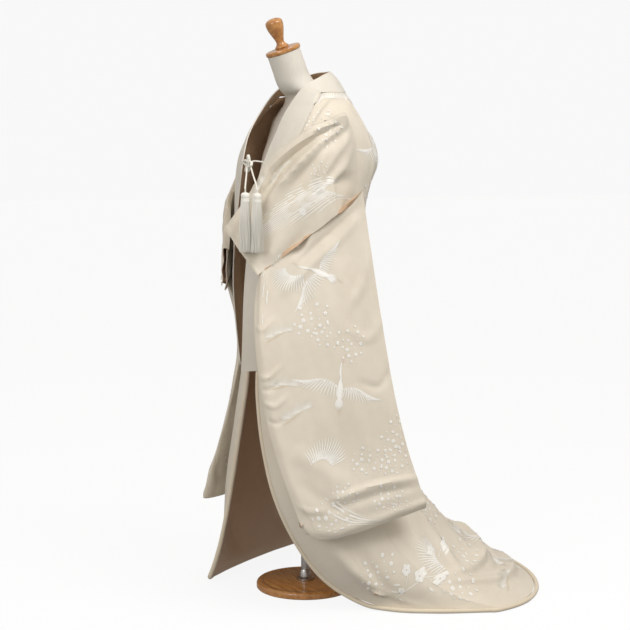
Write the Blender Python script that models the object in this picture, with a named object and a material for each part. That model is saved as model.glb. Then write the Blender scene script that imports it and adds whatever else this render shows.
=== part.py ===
"""Uchikake, the trailing wedding over-kimono, resting on a limbless dress form.

Frame: metres, +Z up, origin on the floor under the pole. The robe faces -Y, its
own left side is +X. The tables are in centimetres and are scaled by CM.
"""

import math

import bmesh
import bpy
import numpy as np

CM = 0.01

# Cloth and seams
WALL = 0.0026
LINING_WALL = 0.0012
SEAM_GAP = 0.0003
COLLAR_WALL = 0.0034
OKUMI_WIDTH = 0.15
OKUMI_TIP = 0.003
FUKI_RADIUS = 0.007
FUKI_SIDES = 6
FUKI_GAP = 0.0009
CORNER_REACH = 1.25
COLLAR_SEAM_GAP = 0.0006
COLLAR_CORNER_GAP = 0.0030
COLLAR_CORNER_REACH = 0.045
COLLAR_PUFF = 0.004
CLOTH_CLEARANCE = 0.013
LINING_GAP = 0.0006
CLEARING_STEPS = 2
CLEARING_REACH = 0.12
SETTLING_ROUNDS = 7

# Mesh counts
RING_STEPS = 29
FRONT_COLUMNS = 6
BACK_COLUMNS = 10
OKUMI_COLUMNS = 2
SLEEVE_COLUMNS = 12
COLLAR_SHARES = (0.0, 0.35, 0.72, 1.0)

# Robe rings from the neck to the hem. Each ring has a front edge F, a side S and
# a centre back B. RF is the front edge of the wearer's right half, x counted to the
# right. Round is 1 for an ellipse and less for a squarer back. Flat straightens the
# front quarter between F and S.
RINGS = np.array([
    # Fx     Fy     Fz     Sx    Sy     Sz     By    Bz     round  RFx   RFy    RFz   flat
    (12.3,  -2.0, 149.8,  10.8,  4.3, 150.5,  11.6, 151.0, 1.00,  12.3,  -2.2, 149.8, 0.00),
    (13.8,  -5.5, 145.0,  14.8,  3.4, 148.3,  12.6, 146.5, 1.00,  13.8,  -6.3, 145.0, 0.00),
    (14.3,  -8.8, 139.5,  17.8,  2.4, 145.3,  14.2, 141.0, 0.95,  14.4, -10.8, 139.5, 0.00),
    (13.5, -11.8, 133.5,  20.0,  2.0, 139.0,  17.8, 135.5, 0.85,  13.8, -14.3, 133.5, 0.00),
    (12.4, -14.2, 127.5,  20.6,  2.0, 131.0,  18.9, 130.0, 0.80,  12.6, -16.2, 127.5, 0.00),
    (12.0, -16.2, 120.0,  20.6,  1.5, 123.0,  17.0, 124.0, 0.85,  12.0, -17.0, 120.0, 0.00),
    (12.5, -17.8, 111.0,  20.2,  1.0, 114.0,  15.9, 117.0, 0.90,  12.3, -17.0, 111.0, 0.00),
    (13.5, -19.3, 101.0,  20.2,  0.0, 104.0,  17.0, 108.0, 0.95,  12.6, -16.0, 101.0, 0.00),
    (14.3, -21.0,  90.0,  20.8, -1.0,  93.0,  19.2,  97.0, 1.00,  12.6, -15.0,  90.0, 0.00),
    (14.0, -22.0,  78.0,  22.0, -1.0,  80.0,  22.2,  82.0, 1.00,  11.6, -14.3,  78.0, 0.00),
    (13.0, -22.7,  66.5,  23.8,  0.0,  67.0,  25.2,  67.0, 1.00,  10.4, -14.6,  66.5, 0.00),
    (15.2, -22.4,  50.0,  26.5,  2.0,  50.0,  29.0,  48.0, 1.00,  12.0, -16.3,  50.0, 0.00),
    (18.5, -20.2,  34.4,  29.5,  5.0,  34.0,  34.6,  32.0, 1.00,  13.6, -18.2,  34.4, 0.00),
    (21.0, -15.0,  21.4,  33.0,  9.5,  21.0,  44.0,  19.5, 1.00,  15.0, -19.8,  21.4, 0.20),
    (23.4,  -8.0,  10.8,  38.5, 17.0,  10.5,  56.0,  11.6, 1.00,  16.6, -21.3,  10.8, 0.45),
    (27.0,  -0.5,   4.4,  44.5, 26.0,   4.2,  65.5,   4.8, 1.00,  18.4, -22.3,   4.4, 0.70),
    (33.5,   7.5,   0.9,  50.0, 36.0,   0.9,  71.5,   0.9, 1.00,  20.0, -22.8,   0.9, 0.75),
])
LAST_RING = len(RINGS) - 1

# Named places down the robe, as ring numbers
ARMHOLE_TOP = 2.2
ARMHOLE_FOOT = 6.0
ARMHOLE_HALF_WIDTH = 0.034
OKUMI_TOP = 5.2
COLLAR_END = 9.7
FOLD_FADE = 2.2
LINING_TOP = 8.9

# Folds of the robe, each a soft ridge that runs down the cloth: side is +1 for the
# wearer's left and -1 for the right, place is the quarter measure round the ring
# (0 front edge, 1 side, 2 centre back) at its top and at the hem.
FOLDS = [
    # side  place_top  place_hem  ring_from  ring_to  height_cm  half_width
    (+1, 0.55, 0.42,  9.0, 16.0, 2.0, 0.09),
    (+1, 1.20, 1.10, 10.0, 16.0, 2.2, 0.10),
    (+1, 1.55, 1.48,  8.0, 16.0, 1.5, 0.08),
    (+1, 1.86, 1.84, 11.0, 16.0, 1.6, 0.07),
    (-1, 0.50, 0.36,  9.5, 16.0, 2.2, 0.10),
    (-1, 0.96, 0.90,  9.0, 16.0, 1.8, 0.09),
    (-1, 1.38, 1.30,  8.5, 16.0, 2.1, 0.10),
    (-1, 1.74, 1.70,  9.5, 16.0, 1.7, 0.08),
    (+1, 1.60, 1.75,  1.5,  7.0, 0.8, 0.07),
    (-1, 1.60, 1.75,  1.5,  7.0, 0.8, 0.07),
]

# Free edge of the collar, from the centre back to its lower end. Seam is the
# distance along the seam in centimetres, forward is added on the right side.
COLLAR_FREE = np.array([
    # seam    x      y      z     forward
    (0.0,    0.0,   7.2, 157.2,  0.0),
    (7.0,    4.4,   6.0, 157.0,  0.0),
    (13.5,   7.4,   1.0, 155.2,  0.0),
    (20.0,   7.6,  -5.2, 151.6,  0.3),
    (27.0,   6.6, -10.0, 145.0,  1.6),
    (33.5,   5.8, -13.0, 138.6,  2.8),
    (40.5,   4.7, -15.6, 132.0,  2.6),
    (47.0,   4.2, -17.8, 126.0,  1.6),
    (56.0,   4.4, -20.0, 117.0,  0.4),
    (67.0,   5.6, -22.2, 106.0, -1.2),
    (80.0,   6.9, -24.2,  93.0, -3.4),
    (95.0,   7.6, -25.2,  78.0, -6.0),
    (105.0,  7.2, -25.4,  69.5, -7.0),
])

# Sleeves as flat bags: each row is a line from the cuff side (A) to the body side (C)
# at one height of the bag. Outer and inner are how far the two layers stand off that
# line, turn is the compass heading in degrees in which the outer layer faces, bow
# lifts the middle of the line and swell carries it out to the side of the body.
LEFT_SLEEVE = np.array([
    # Ax     Ay     Az     Cx    Cy    Cz    outer inner  turn   bow  swell
    (5.0,  -29.3, 111.3,  19.6,  3.9, 145.2,  0.0,  0.0, -38.0, 4.0, 0.0),
    (6.5,  -28.4, 109.2,  20.4,  4.0, 141.5,  2.6,  2.0, -38.0, 3.4, 0.0),
    (9.0,  -26.8, 105.5,  21.5,  4.2, 134.0,  3.9,  3.0, -38.0, 2.4, 0.4),
    (11.6, -25.0, 101.6,  22.6,  4.6, 126.5,  4.1,  3.0, -36.0, 1.2, 0.4),
    (14.2, -23.2,  97.6,  24.2,  5.0, 119.6,  3.0,  2.2, -34.0, 0.2, 0.0),
    (14.4, -23.0,  99.2,  24.3,  5.2, 121.4,  1.2,  1.0, -30.0, 0.0, 0.0),
    (16.0, -25.4,  91.0,  26.6,  6.0, 108.0,  0.9,  0.9, -22.0, 0.0, 0.0),
    (19.6, -27.2,  78.8,  29.6,  7.2,  91.0,  0.8,  0.9, -19.0, 0.0, 0.0),
    (22.4, -26.8,  65.0,  32.8,  8.8,  73.0,  0.8,  0.9, -19.0, 0.0, 0.0),
    (25.2, -25.0,  50.0,  36.2, 11.0,  55.0,  0.9,  0.9, -19.0, -0.6, 0.0),
    (28.0, -22.4,  37.0,  39.0, 14.0,  41.0,  0.9,  0.9, -18.0, -1.0, 0.0),
    (30.4, -18.8,  23.4,  41.0, 16.4,  32.4,  0.8,  0.8, -18.0, -1.0, 0.0),
    (30.8, -18.4,  22.2,  41.2, 16.6,  31.2,  0.0,  0.0, -18.0, -1.0, 0.0),
])
RIGHT_SLEEVE = np.array([
    # Ax     Ay     Az     Cx    Cy    Cz    outer inner  turn   bow  swell
    (4.0,  -22.6, 104.5,  19.6,  3.9, 145.2,  0.0,  0.0, -30.0, 2.0, 6.0),
    (4.6,  -22.8, 102.4,  20.4,  4.0, 141.5,  1.6,  1.6, -30.0, 1.6, 6.4),
    (5.8,  -22.9,  98.8,  21.5,  4.2, 134.0,  2.6,  2.2, -30.0, 1.2, 6.8),
    (7.0,  -23.2,  95.4,  22.6,  4.6, 126.5,  2.6,  2.2, -30.0, 0.8, 6.4),
    (8.2,  -23.4,  92.0,  24.2,  5.0, 119.6,  2.2,  2.0, -30.0, 0.2, 5.4),
    (9.6,  -21.0,  93.6,  24.3,  5.2, 121.4,  1.2,  1.0, -28.0, 0.0, 4.8),
    (14.4, -14.6,  85.4,  26.6,  6.0, 108.0,  0.9,  0.9, -22.0, 0.0, 2.5),
    (20.4, -10.8,  72.4,  29.6,  7.2,  91.0,  0.8,  0.9, -18.0, 0.0, 1.0),
    (23.2, -12.4,  59.0,  32.8,  8.8,  73.0,  0.8,  0.9, -16.0, 0.0, 0.5),
    (26.2, -14.8,  46.0,  36.2, 11.0,  55.0,  0.9,  0.9, -16.0, -0.6, 0.0),
    (29.0, -17.6,  33.0,  39.0, 14.0,  40.0,  0.9,  0.9, -16.0, -1.0, 0.0),
    (31.2, -19.4,  24.0,  41.0, 16.4,  30.0,  0.8,  0.8, -16.0, -1.0, 0.0),
    (31.4, -19.6,  22.8,  41.2, 16.6,  28.8,  0.0,  0.0, -16.0, -1.0, 0.0),
])
CUFF_FLATNESS = 0.4
CUFF_ROW = 4.6
LEFT_CORNER_RISE = 7.0
RIGHT_CORNER_RISE = 1.0
CORNER_START = 0.30
# The sleeve is sewn to the armhole down to this row, over these rows it comes away,
# and its cloth follows the seam over this share of its width
SEWN_TO_ROW = 4.6
SEWN_FADE = 0.6
SEWN_REACH = 0.30
SEWN_EASE = 1.6
SEAM_ROWS = 4.0
SEAM_ROUNDNESS = 0.92
SEAM_MARGIN = 0.003
SLEEVE_ROW_STEPS = [0, 0.3, 0.7, 1.1, 1.5, 1.9, 2.3, 2.7, 3.1, 3.5, 3.85, 4.0, 4.45, 5.0,
                    5.5, 6.2, 7.0, 7.8, 8.6, 9.4, 10.2, 10.7, 11.0, 12.0]

# Creases that fan over the forearm from the shoulder to the cuff, then the broad
# ones across the hanging part: row at the cuff side, row at the body side.
SLEEVE_FOLDS = [
    # row_cuff  row_body  height_cm  half_width
    (0.80, 0.20,  0.9, 0.38),
    (1.60, 0.55, -1.3, 0.36),
    (2.50, 1.20,  1.0, 0.40),
    (3.40, 2.20, -0.8, 0.40),
    (9.40, 9.00, -0.7, 0.38),
    (10.3, 10.1,  0.8, 0.34),
]

# Dress form sections from the hip to the top of the neck: height of the middle, half
# width, half depth, middle and the lean of the section in degrees.
TORSO = np.array([
    # z      half_x  half_y  mid_y  lean
    (70.0,   10.0,    7.4,   1.0,   0.0),
    (73.0,   14.6,   10.4,   1.0,   0.0),
    (82.0,   15.8,   11.4,   1.2,   0.0),
    (92.0,   15.6,   11.0,   1.2,   0.0),
    (102.0,  12.4,    9.4,   0.4,   0.0),
    (108.0,  11.6,    9.0,   0.0,   0.0),
    (116.0,  12.8,   10.0,  -0.6,   0.0),
    (124.0,  14.2,   11.4,  -1.4,   0.0),
    (131.0,  16.06,  11.0,  -0.8,   0.0),
    (137.0,  17.97,   9.6,   0.8,   0.0),
    (142.59, 18.79,   8.0,   1.8,   0.0),
    (145.59, 17.29,   6.6,   2.4,   0.0),
    (148.09, 14.69,   5.6,   2.6,   1.0),
    (150.18, 10.36,   5.2,   1.0,   4.0),
    (152.14,  6.84,   5.2,  -1.8,  12.0),
    (154.8,   5.2,    5.1,  -4.0,  18.0),
    (158.6,   5.0,    5.0,  -5.6,  21.0),
    (162.45,  5.0,    5.0,  -7.15, 21.5),
])
TORSO_SIDES = 24
NECK_LEAN = math.radians(TORSO[-1, 4])
NECK_TOP = (0.0, TORSO[-1, 3] * CM, TORSO[-1, 0] * CM)
CAP_RADIUS = 0.053
CAP_THICKNESS = 0.013
KNOB_PROFILE = [
    # radius  height
    (1.9, 0.0), (2.1, 0.5), (1.5, 1.1), (1.2, 1.9), (1.45, 3.0), (1.95, 4.4),
    (2.4, 5.8), (2.6, 7.1), (2.5, 8.0), (1.9, 8.6), (0.9, 8.95), (0.0, 9.0),
]
POLE_RADIUS = 0.0125
BASE_RADIUS = 0.150
BASE_HEIGHT = 0.022

# Tie between the collar edges: a knot, two loops, two cords and two tassels
KNOT = (0.006, -0.1885, 1.298)
CORD_RADIUS = 0.0024
TASSEL_HEADS = [(0.151, -0.279, 1.216), (0.173, -0.253, 1.214)]
TASSEL_RADIUS = 0.0125
TASSEL_HEAD_HEIGHT = 0.026
TASSEL_STRAND_LENGTH = 0.138
TASSEL_SEGMENTS = 14

# Colours
CREAM = (0.72, 0.65, 0.54)
CREAM_DEEP = (0.64, 0.55, 0.42)
PEACH = (0.50, 0.33, 0.20)
LINEN = (0.72, 0.68, 0.60)
OAK = (0.55, 0.30, 0.12)
SILK_WHITE = (0.70, 0.66, 0.58)
METAL = (0.30, 0.29, 0.28)


def clear_scene():
    """Take away what the scene starts with."""
    for thing in list(bpy.data.objects):
        bpy.data.objects.remove(thing, do_unlink=True)


def finish(name, colour, rough, metallic=0.0):
    """A plain material in the colour of one sub-part."""
    made = bpy.data.materials.new(name)
    made.use_nodes = True
    shader = made.node_tree.nodes["Principled BSDF"]
    shader.inputs["Base Color"].default_value = (*colour, 1.0)
    shader.inputs["Roughness"].default_value = rough
    shader.inputs["Metallic"].default_value = metallic
    return made


def add_mesh(name, points, faces, material):
    """Put points and faces into a new object."""
    mesh = bpy.data.meshes.new(name)
    mesh.from_pydata([tuple(p) for p in points], [], [tuple(f) for f in faces])
    mesh.materials.append(material)
    mesh.shade_smooth()
    thing = bpy.data.objects.new(name, mesh)
    bpy.context.scene.collection.objects.link(thing)
    return thing


def smooth_rows(table, where):
    """Read a table at fractional rows, on a smooth curve through its rows."""
    where = np.clip(np.asarray(where, float), 0, len(table) - 1)
    low = np.clip(np.floor(where).astype(int), 0, len(table) - 2)
    f = (where - low)[..., None]
    before = table[np.maximum(low - 1, 0)]
    here = table[low]
    after = table[low + 1]
    beyond = table[np.minimum(low + 2, len(table) - 1)]
    rise_here = (after - before) / 2
    rise_after = (beyond - here) / 2
    return (here * (2 * f**3 - 3 * f**2 + 1) + rise_here * (f**3 - 2 * f**2 + f)
            + after * (3 * f**2 - 2 * f**3) + rise_after * (f**3 - f**2))


def unit(vectors):
    """Vectors of length one."""
    return vectors / np.maximum(np.linalg.norm(vectors, axis=-1, keepdims=True), 1e-12)


def plain_robe(side, q, ring):
    """The robe without folds: q runs 0 front edge, 1 side, 2 centre back."""
    q, ring = np.broadcast_arrays(np.asarray(q, float), np.asarray(ring, float))
    row = smooth_rows(RINGS, ring)
    fx, fy, fz = (row[..., k] for k in ((0, 1, 2) if side > 0 else (9, 10, 11)))
    sx, sy, sz, by, bz, squareness = (row[..., k] for k in range(3, 9))
    turn = np.clip(q, 0, 1) * math.pi / 2
    back = np.clip(q - 1, 0, 1) * math.pi / 2
    front_x = fx + (sx - fx) * np.sin(turn)
    front_y = sy + (fy - sy) * np.cos(turn)
    flat, share = row[..., 12], np.clip(q, 0, 1)
    front_x += (fx + (sx - fx) * share - front_x) * flat
    front_y += (fy + (sy - fy) * share - front_y) * flat
    front_z = fz + (sz - fz) * np.sin(turn)**2
    back_x = sx * np.maximum(np.cos(back), 0)**squareness
    back_y = sy + (by - sy) * np.sin(back)**squareness
    back_z = sz + (bz - sz) * np.sin(back)**2
    in_front = q <= 1
    x = np.where(in_front, front_x, back_x)
    y = np.where(in_front, front_y, back_y)
    z = np.where(in_front, front_z, back_z)
    return np.stack([side * x, y, z], -1) * CM


def facing(surface, side, q, ring, step=0.02):
    """Direction square to a surface of the robe, pointing out of it."""
    along_q = surface(side, np.clip(q + step, 0, 2), ring) - surface(side, np.clip(q - step, 0, 2), ring)
    along_r = (surface(side, q, np.clip(ring + step, 0, LAST_RING))
               - surface(side, q, np.clip(ring - step, 0, LAST_RING)))
    return unit(np.cross(along_r, along_q)) * side


def robe(side, q, ring):
    """The robe with its folds, as the middle of its wall."""
    q, ring = np.broadcast_arrays(np.asarray(q, float), np.asarray(ring, float))
    lift = np.zeros(q.shape)
    for fold_side, top, hem, start, end, height, half_width in FOLDS:
        if fold_side != side:
            continue
        share = np.clip((ring - start) / (end - start), 0, 1)
        grown = np.sin(share * math.pi * 0.5)**2 * (ring <= end)
        if end < LAST_RING:
            grown = np.sin(share * math.pi)**2
        near_hem = np.clip((LAST_RING - ring) / FOLD_FADE, 0, 1)**2
        middle = top + (hem - top) * share
        lift += height * CM * grown * near_hem * np.exp(-((q - middle) / half_width)**2)
    return plain_robe(side, q, ring) + facing(plain_robe, side, q, ring) * lift[..., None]


def quarter_at(side, ring, distance):
    """Quarter measure q at a distance in metres round one ring from its front edge."""
    q = np.linspace(0, 2, 241)
    line = robe(side, q, np.full(q.shape, ring))
    run = np.concatenate([[0], np.cumsum(np.linalg.norm(np.diff(line, axis=0), axis=1))])
    return np.interp(distance, run, q), run[-1], np.interp(1.0, q, run)


def wall(name, middle, out, thickness, faces, material):
    """Closed wall round a sheet: middle points, outward directions and faces."""
    count = len(middle)
    points = np.concatenate([middle + out * thickness / 2, middle - out * thickness / 2])
    edges = {}
    for face in faces:
        for a, b in zip(face, face[1:] + face[:1]):
            edges[(a, b)] = True
    solid = list(faces)
    solid += [tuple(v + count for v in reversed(face)) for face in faces]
    for a, b in edges:
        if (b, a) in edges:
            continue
        if tuple(middle[a][::-1]) > tuple(middle[b][::-1]):
            solid += [(b, a, b + count), (a, a + count, b + count)]
        else:
            solid += [(b, a, a + count), (b, a + count, b + count)]
    return add_mesh(name, points, solid, material)


def grid_faces(index, flip=False):
    """Triangles of a grid of point numbers, all cut along the same diagonal."""
    faces = []
    for i in range(index.shape[0] - 1):
        for j in range(index.shape[1] - 1):
            a, b = index[i, j], index[i + 1, j]
            c, d = index[i + 1, j + 1], index[i, j + 1]
            for face in ((a, b, c), (a, c, d)):
                if len(set(face)) == 3:
                    faces.append(tuple(int(v) for v in (reversed(face) if flip else face)))
    return faces


def shared_rings():
    """Rings that all the pieces of the robe share, so that their facets run alike."""
    rings = np.linspace(0, LAST_RING, RING_STEPS + 1)
    for place in (ARMHOLE_TOP, ARMHOLE_FOOT, OKUMI_TOP, COLLAR_END, LINING_TOP):
        rings[np.argmin(np.abs(rings - place))] = place
    return rings


def okumi_width(ring):
    """Width of the okumi at a ring: a point at its top, whole at the collar's end."""
    if ring < OKUMI_TOP:
        return 0.0
    share = min((ring - OKUMI_TOP) / (COLLAR_END - OKUMI_TOP), 1.0)
    return OKUMI_TIP + (OKUMI_WIDTH - OKUMI_TIP) * share


def front_places(side, ring, armhole=True):
    """Places of the front body's columns at a ring, from the okumi to the side seam."""
    side_run = quarter_at(side, ring, 0.0)[2]
    start = okumi_width(ring) + (SEAM_GAP / 2 if ring >= OKUMI_TOP else 0.0)
    end = side_run - (side_gap(ring) if armhole else 0.0)
    return quarter_at(side, ring, np.linspace(start, end, FRONT_COLUMNS + 1))[0]


def back_places(side, ring):
    """Places of the back body's columns at a ring, from the side to the centre back."""
    _, whole, side_run = quarter_at(side, ring, 0.0)
    runs = np.linspace(side_run + side_gap(ring), whole - SEAM_GAP / 2, BACK_COLUMNS + 1)
    return quarter_at(side, ring, runs)[0]


def okumi_places(side, ring):
    """Places of the okumi's columns at a ring, from the front edge to its seam."""
    runs = np.linspace(0, okumi_width(ring) - SEAM_GAP / 2, OKUMI_COLUMNS + 1)
    return quarter_at(side, ring, runs)[0]


def side_gap(ring):
    """Half the gap at the side: none over the shoulder, the armhole, then a seam."""
    if ring <= ARMHOLE_TOP:
        return 0.0
    hole = min((ring - ARMHOLE_TOP) / (ARMHOLE_FOOT - ARMHOLE_TOP), 1.0)
    return SEAM_GAP / 2 + ARMHOLE_HALF_WIDTH * math.sin(math.pi * hole)


def body_panel(side, name, material):
    """Front and back of one side, whole over the shoulder and parted at the side seam."""
    rings = shared_rings()
    front_q = [front_places(side, ring) for ring in rings]
    back_q = [back_places(side, ring) for ring in rings]
    front_q = np.array(front_q)
    back_q = np.array(back_q)
    places = np.concatenate([front_q.ravel(), back_q.ravel()])
    heights = np.concatenate([np.repeat(rings, FRONT_COLUMNS + 1), np.repeat(rings, BACK_COLUMNS + 1)])
    front_index = np.arange(front_q.size).reshape(front_q.shape)
    back_index = np.arange(back_q.size).reshape(back_q.shape) + front_q.size
    for i, ring in enumerate(rings):
        if ring <= ARMHOLE_TOP + 1e-6:
            back_index[i, 0] = front_index[i, -1]
    faces = grid_faces(front_index, side < 0) + grid_faces(back_index, side < 0)
    used = sorted({v for face in faces for v in face})
    renumber = {old: new for new, old in enumerate(used)}
    faces = [tuple(renumber[v] for v in face) for face in faces]
    middle = robe(side, places, heights)[used]
    out = facing(robe, side, places, heights)[used]
    return wall(name, middle, out, WALL, faces, material)


def strip_panel(side, name, rings, places, inward, thickness, material):
    """A panel through the given places of each ring, moved in from the robe by inward."""
    q = np.array(places)
    height = np.repeat(np.array(rings)[:, None], q.shape[1], 1)
    out = facing(robe, side, q, height).reshape(-1, 3)
    middle = robe(side, q, height).reshape(-1, 3) - out * inward
    index = np.arange(q.size).reshape(q.shape)
    return wall(name, middle, out, thickness, grid_faces(index, side < 0), material)


def okumi_panel(side, name, material):
    """The overlap strip between the front body and the front edge."""
    rings = [ring for ring in shared_rings() if ring >= OKUMI_TOP]
    return strip_panel(side, name, rings, [okumi_places(side, ring) for ring in rings],
                       0.0, WALL, material)


def skirt_lining(side, name, material):
    """The lower lining inside the skirt, from the front edge to the centre back."""
    rings = [ring for ring in shared_rings() if ring >= LINING_TOP]
    places = [np.concatenate([okumi_places(side, ring), front_places(side, ring, False)[1:],
                              back_places(side, ring)[1:]]) for ring in rings]
    inward = WALL / 2 + LINING_GAP + LINING_WALL / 2
    return strip_panel(side, name, rings, places, inward, LINING_WALL, material)


def collar_seam(side):
    """Places and rings of the collar's seam, from the centre back down one front."""
    down = [ring for ring in shared_rings() if ring <= COLLAR_END + 1e-6]
    neck = np.concatenate([back_places(side, 0.0)[::-1], front_places(side, 0.0)[::-1][1:]])
    q = np.concatenate([neck, np.zeros(len(down) - 1)])
    return q, np.concatenate([np.zeros(len(neck)), down[1:]])


def mitred(path, facing_out):
    """Ways that point off a path, square to it and to facing_out, mitred at corners."""
    runs = unit(np.diff(path, axis=0))
    middle = unit(facing_out[:-1] + facing_out[1:])
    square = unit(np.cross(runs, middle))
    before = np.concatenate([square[:1], square])
    after = np.concatenate([square, square[-1:]])
    spread = 1 + (before * after).sum(-1, keepdims=True)
    return (before + after) / np.maximum(spread, 0.6)


def collar_half(side):
    """Seam, free edge and the robe's facing along the seam, from the centre back down."""
    q, ring = collar_seam(side)
    seam = robe(side, q, ring)
    out = facing(robe, side, q, ring)
    away = mitred(seam, out) * side
    run = np.concatenate([[0], np.cumsum(np.linalg.norm(np.diff(seam, axis=0), axis=1))])
    rows = np.interp(run / CM, COLLAR_FREE[:, 0], np.arange(len(COLLAR_FREE)))
    free_rows = smooth_rows(COLLAR_FREE, rows)
    free = free_rows[:, 1:4] * CM
    free[:, 0] *= side
    if side < 0:
        free[:, 1] -= free_rows[:, 4] * CM
    corner_run = run[FRONT_COLUMNS + BACK_COLUMNS + 1]
    gap = COLLAR_SEAM_GAP + COLLAR_CORNER_GAP * np.exp(-((run - corner_run) / COLLAR_CORNER_REACH)**2)
    start = seam + away * gap[:, None]
    start[0, 0] = 0.0
    out[0, 0] = 0.0
    return start, free, unit(out)


def collar_middle():
    """Points in the middle of the collar's wall and the ways it faces."""
    right_seam, right_free, right_out = collar_half(-1)
    left_seam, left_free, left_out = collar_half(1)
    seam = np.concatenate([right_seam[::-1][:-1], left_seam])
    free = np.concatenate([right_free[::-1][:-1], left_free])
    share = np.array(COLLAR_SHARES)[None, :, None]
    middle = seam[:, None] * (1 - share) + free[:, None] * share
    out = unit(np.cross(np.gradient(middle, axis=0), np.gradient(middle, axis=1)))
    out = out * (1.0 if out[len(out) // 2, 0, 1] > 0 else -1.0)
    middle = middle + out * (COLLAR_PUFF * np.sin(share * math.pi))
    out[:, 0] = np.concatenate([right_out[::-1][:-1], left_out])
    return middle, out


def collar_band(name, material):
    """The folded collar: from the seam to the free edge, all round the neck."""
    middle, out = collar_middle()
    index = np.arange(middle[..., 0].size).reshape(middle.shape[:2])
    faces = grid_faces(index, False)
    made = np.cross(middle[1, 0] - middle[0, 0], middle[0, 1] - middle[0, 0])
    if np.dot(made, out[0, 0]) < 0:
        faces = grid_faces(index, True)
    return wall(name, middle.reshape(-1, 3), out.reshape(-1, 3), COLLAR_WALL, faces, material)


def robe_cloud(side):
    """Fine points of the robe and the ways they face, to keep the sleeve clear of it."""
    q, ring = np.meshgrid(np.linspace(0, 2, 90), np.linspace(0, LAST_RING, 120))
    collar, collar_out = collar_middle()
    half = collar[..., 0] * side > 0
    points = np.concatenate([robe(side, q, ring).reshape(-1, 3), collar[half]])
    return points, np.concatenate([facing(robe, side, q, ring).reshape(-1, 3), collar_out[half]])


def clear_of(points, cloud, facing_out, clearance):
    """Move points out until they stand clearance off the nearest point of a cloud."""
    moved = points.copy()
    for _ in range(CLEARING_STEPS):
        apart = moved[:, None, :] - cloud[None, :, :]
        nearest = np.argmin((apart**2).sum(-1), axis=1)
        offset = moved - cloud[nearest]
        height = (offset * facing_out[nearest]).sum(-1)
        close = np.linalg.norm(offset, axis=1) < CLEARING_REACH
        push = np.where(close, np.clip(clearance - height, 0, None), 0)
        moved += facing_out[nearest] * push[:, None]
    return moved


def settled(points, cloud, facing_out, clearance):
    """Clear a grid of points of a cloud, with the shifts evened out over neighbours."""
    moved = points
    rows, columns = points.shape[:2]
    for _ in range(SETTLING_ROUNDS):
        shift = clear_of(moved.reshape(-1, 3), cloud, facing_out, clearance).reshape(points.shape) - points
        around = np.pad(shift, ((1, 1), (1, 1), (0, 0)), mode="edge")
        evened = sum(around[i:i + rows, j:j + columns] for i in range(3) for j in range(3)) / 9
        moved = points + evened
    return clear_of(moved.reshape(-1, 3), cloud, facing_out, clearance).reshape(points.shape)


def sleeve_layer(side, table, corner_rise, s, rows, outer):
    """One layer of a sleeve: s runs 0 at the body to 1 at the cuff, rows down the bag."""
    drop = smooth_rows(table, rows)
    cuff_side, body_side = drop[:, None, 0:3], drop[:, None, 3:6]
    share = s[None, :, None]
    line = body_side + (cuff_side - body_side) * share
    line[..., 2] += drop[:, None, 9] * np.sin(math.pi * np.clip(s, 0, 1)**1.25)[None, :]
    reach = np.clip((s - (1 - CORNER_START)) / CORNER_START, 0, 1)
    lift = corner_rise * (1 - np.sqrt(np.maximum(1 - reach**2, 0)))
    low = np.clip((rows - 8) / (len(table) - 9), 0, 1)
    line[..., 2] += low[:, None] * lift[None, :]
    turn = np.radians(drop[:, 8])
    heading = np.stack([np.cos(turn), np.sin(turn), np.full(turn.shape, 0.12)], -1)[:, None, :]
    line[..., 0] += drop[:, 10][:, None] * np.sin(math.pi * s)[None, :]
    stand = drop[:, 6 if outer else 7][:, None] * (1 - CUFF_FLATNESS * s)[None, :]
    closed = np.clip((rows - CUFF_ROW) / 0.5, 0, 1)[:, None]
    edge = np.sqrt(np.clip((1 - s) / 0.05, 0, 1))[None, :]
    stand = stand * (1 - closed * (1 - edge))
    fold = np.zeros(stand.shape)
    for row_cuff, row_body, height, half_width in SLEEVE_FOLDS:
        middle = row_body + (row_cuff - row_body) * s[None, :]
        fade = np.sin(math.pi * np.clip(s * 0.9 + 0.08, 0, 1))[None, :]**0.5
        fold += height * fade * np.exp(-((rows[:, None] - middle) / half_width)**2)
    edge_fade = np.clip(stand / 1.0, 0, 1)
    stand = (stand if outer else -stand) + fold * edge_fade * (1.0 if outer else 0.6)
    points = (line + heading * stand[..., None]) * CM
    points[..., 0] *= side
    return points


def armhole_edge(side, rows, behind):
    """Points on the robe round its armhole, where a sleeve layer is sewn on."""
    share = np.clip(rows / SEAM_ROWS, 0, 1)
    ring = ARMHOLE_TOP + (ARMHOLE_FOOT - ARMHOLE_TOP) * share
    half = ARMHOLE_HALF_WIDTH * np.sin(math.pi * share * SEAM_ROUNDNESS) + SEAM_MARGIN
    places = []
    for one_ring, one_half in zip(ring, half):
        side_run = quarter_at(side, one_ring, 0.0)[2]
        places.append(quarter_at(side, one_ring, side_run + (one_half if behind else -one_half))[0])
    places = np.array(places, float)
    stand_off = WALL / 2 + SEAM_GAP * 1.5 + WALL / 2
    return robe(side, places, ring) + facing(robe, side, places, ring) * stand_off


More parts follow.
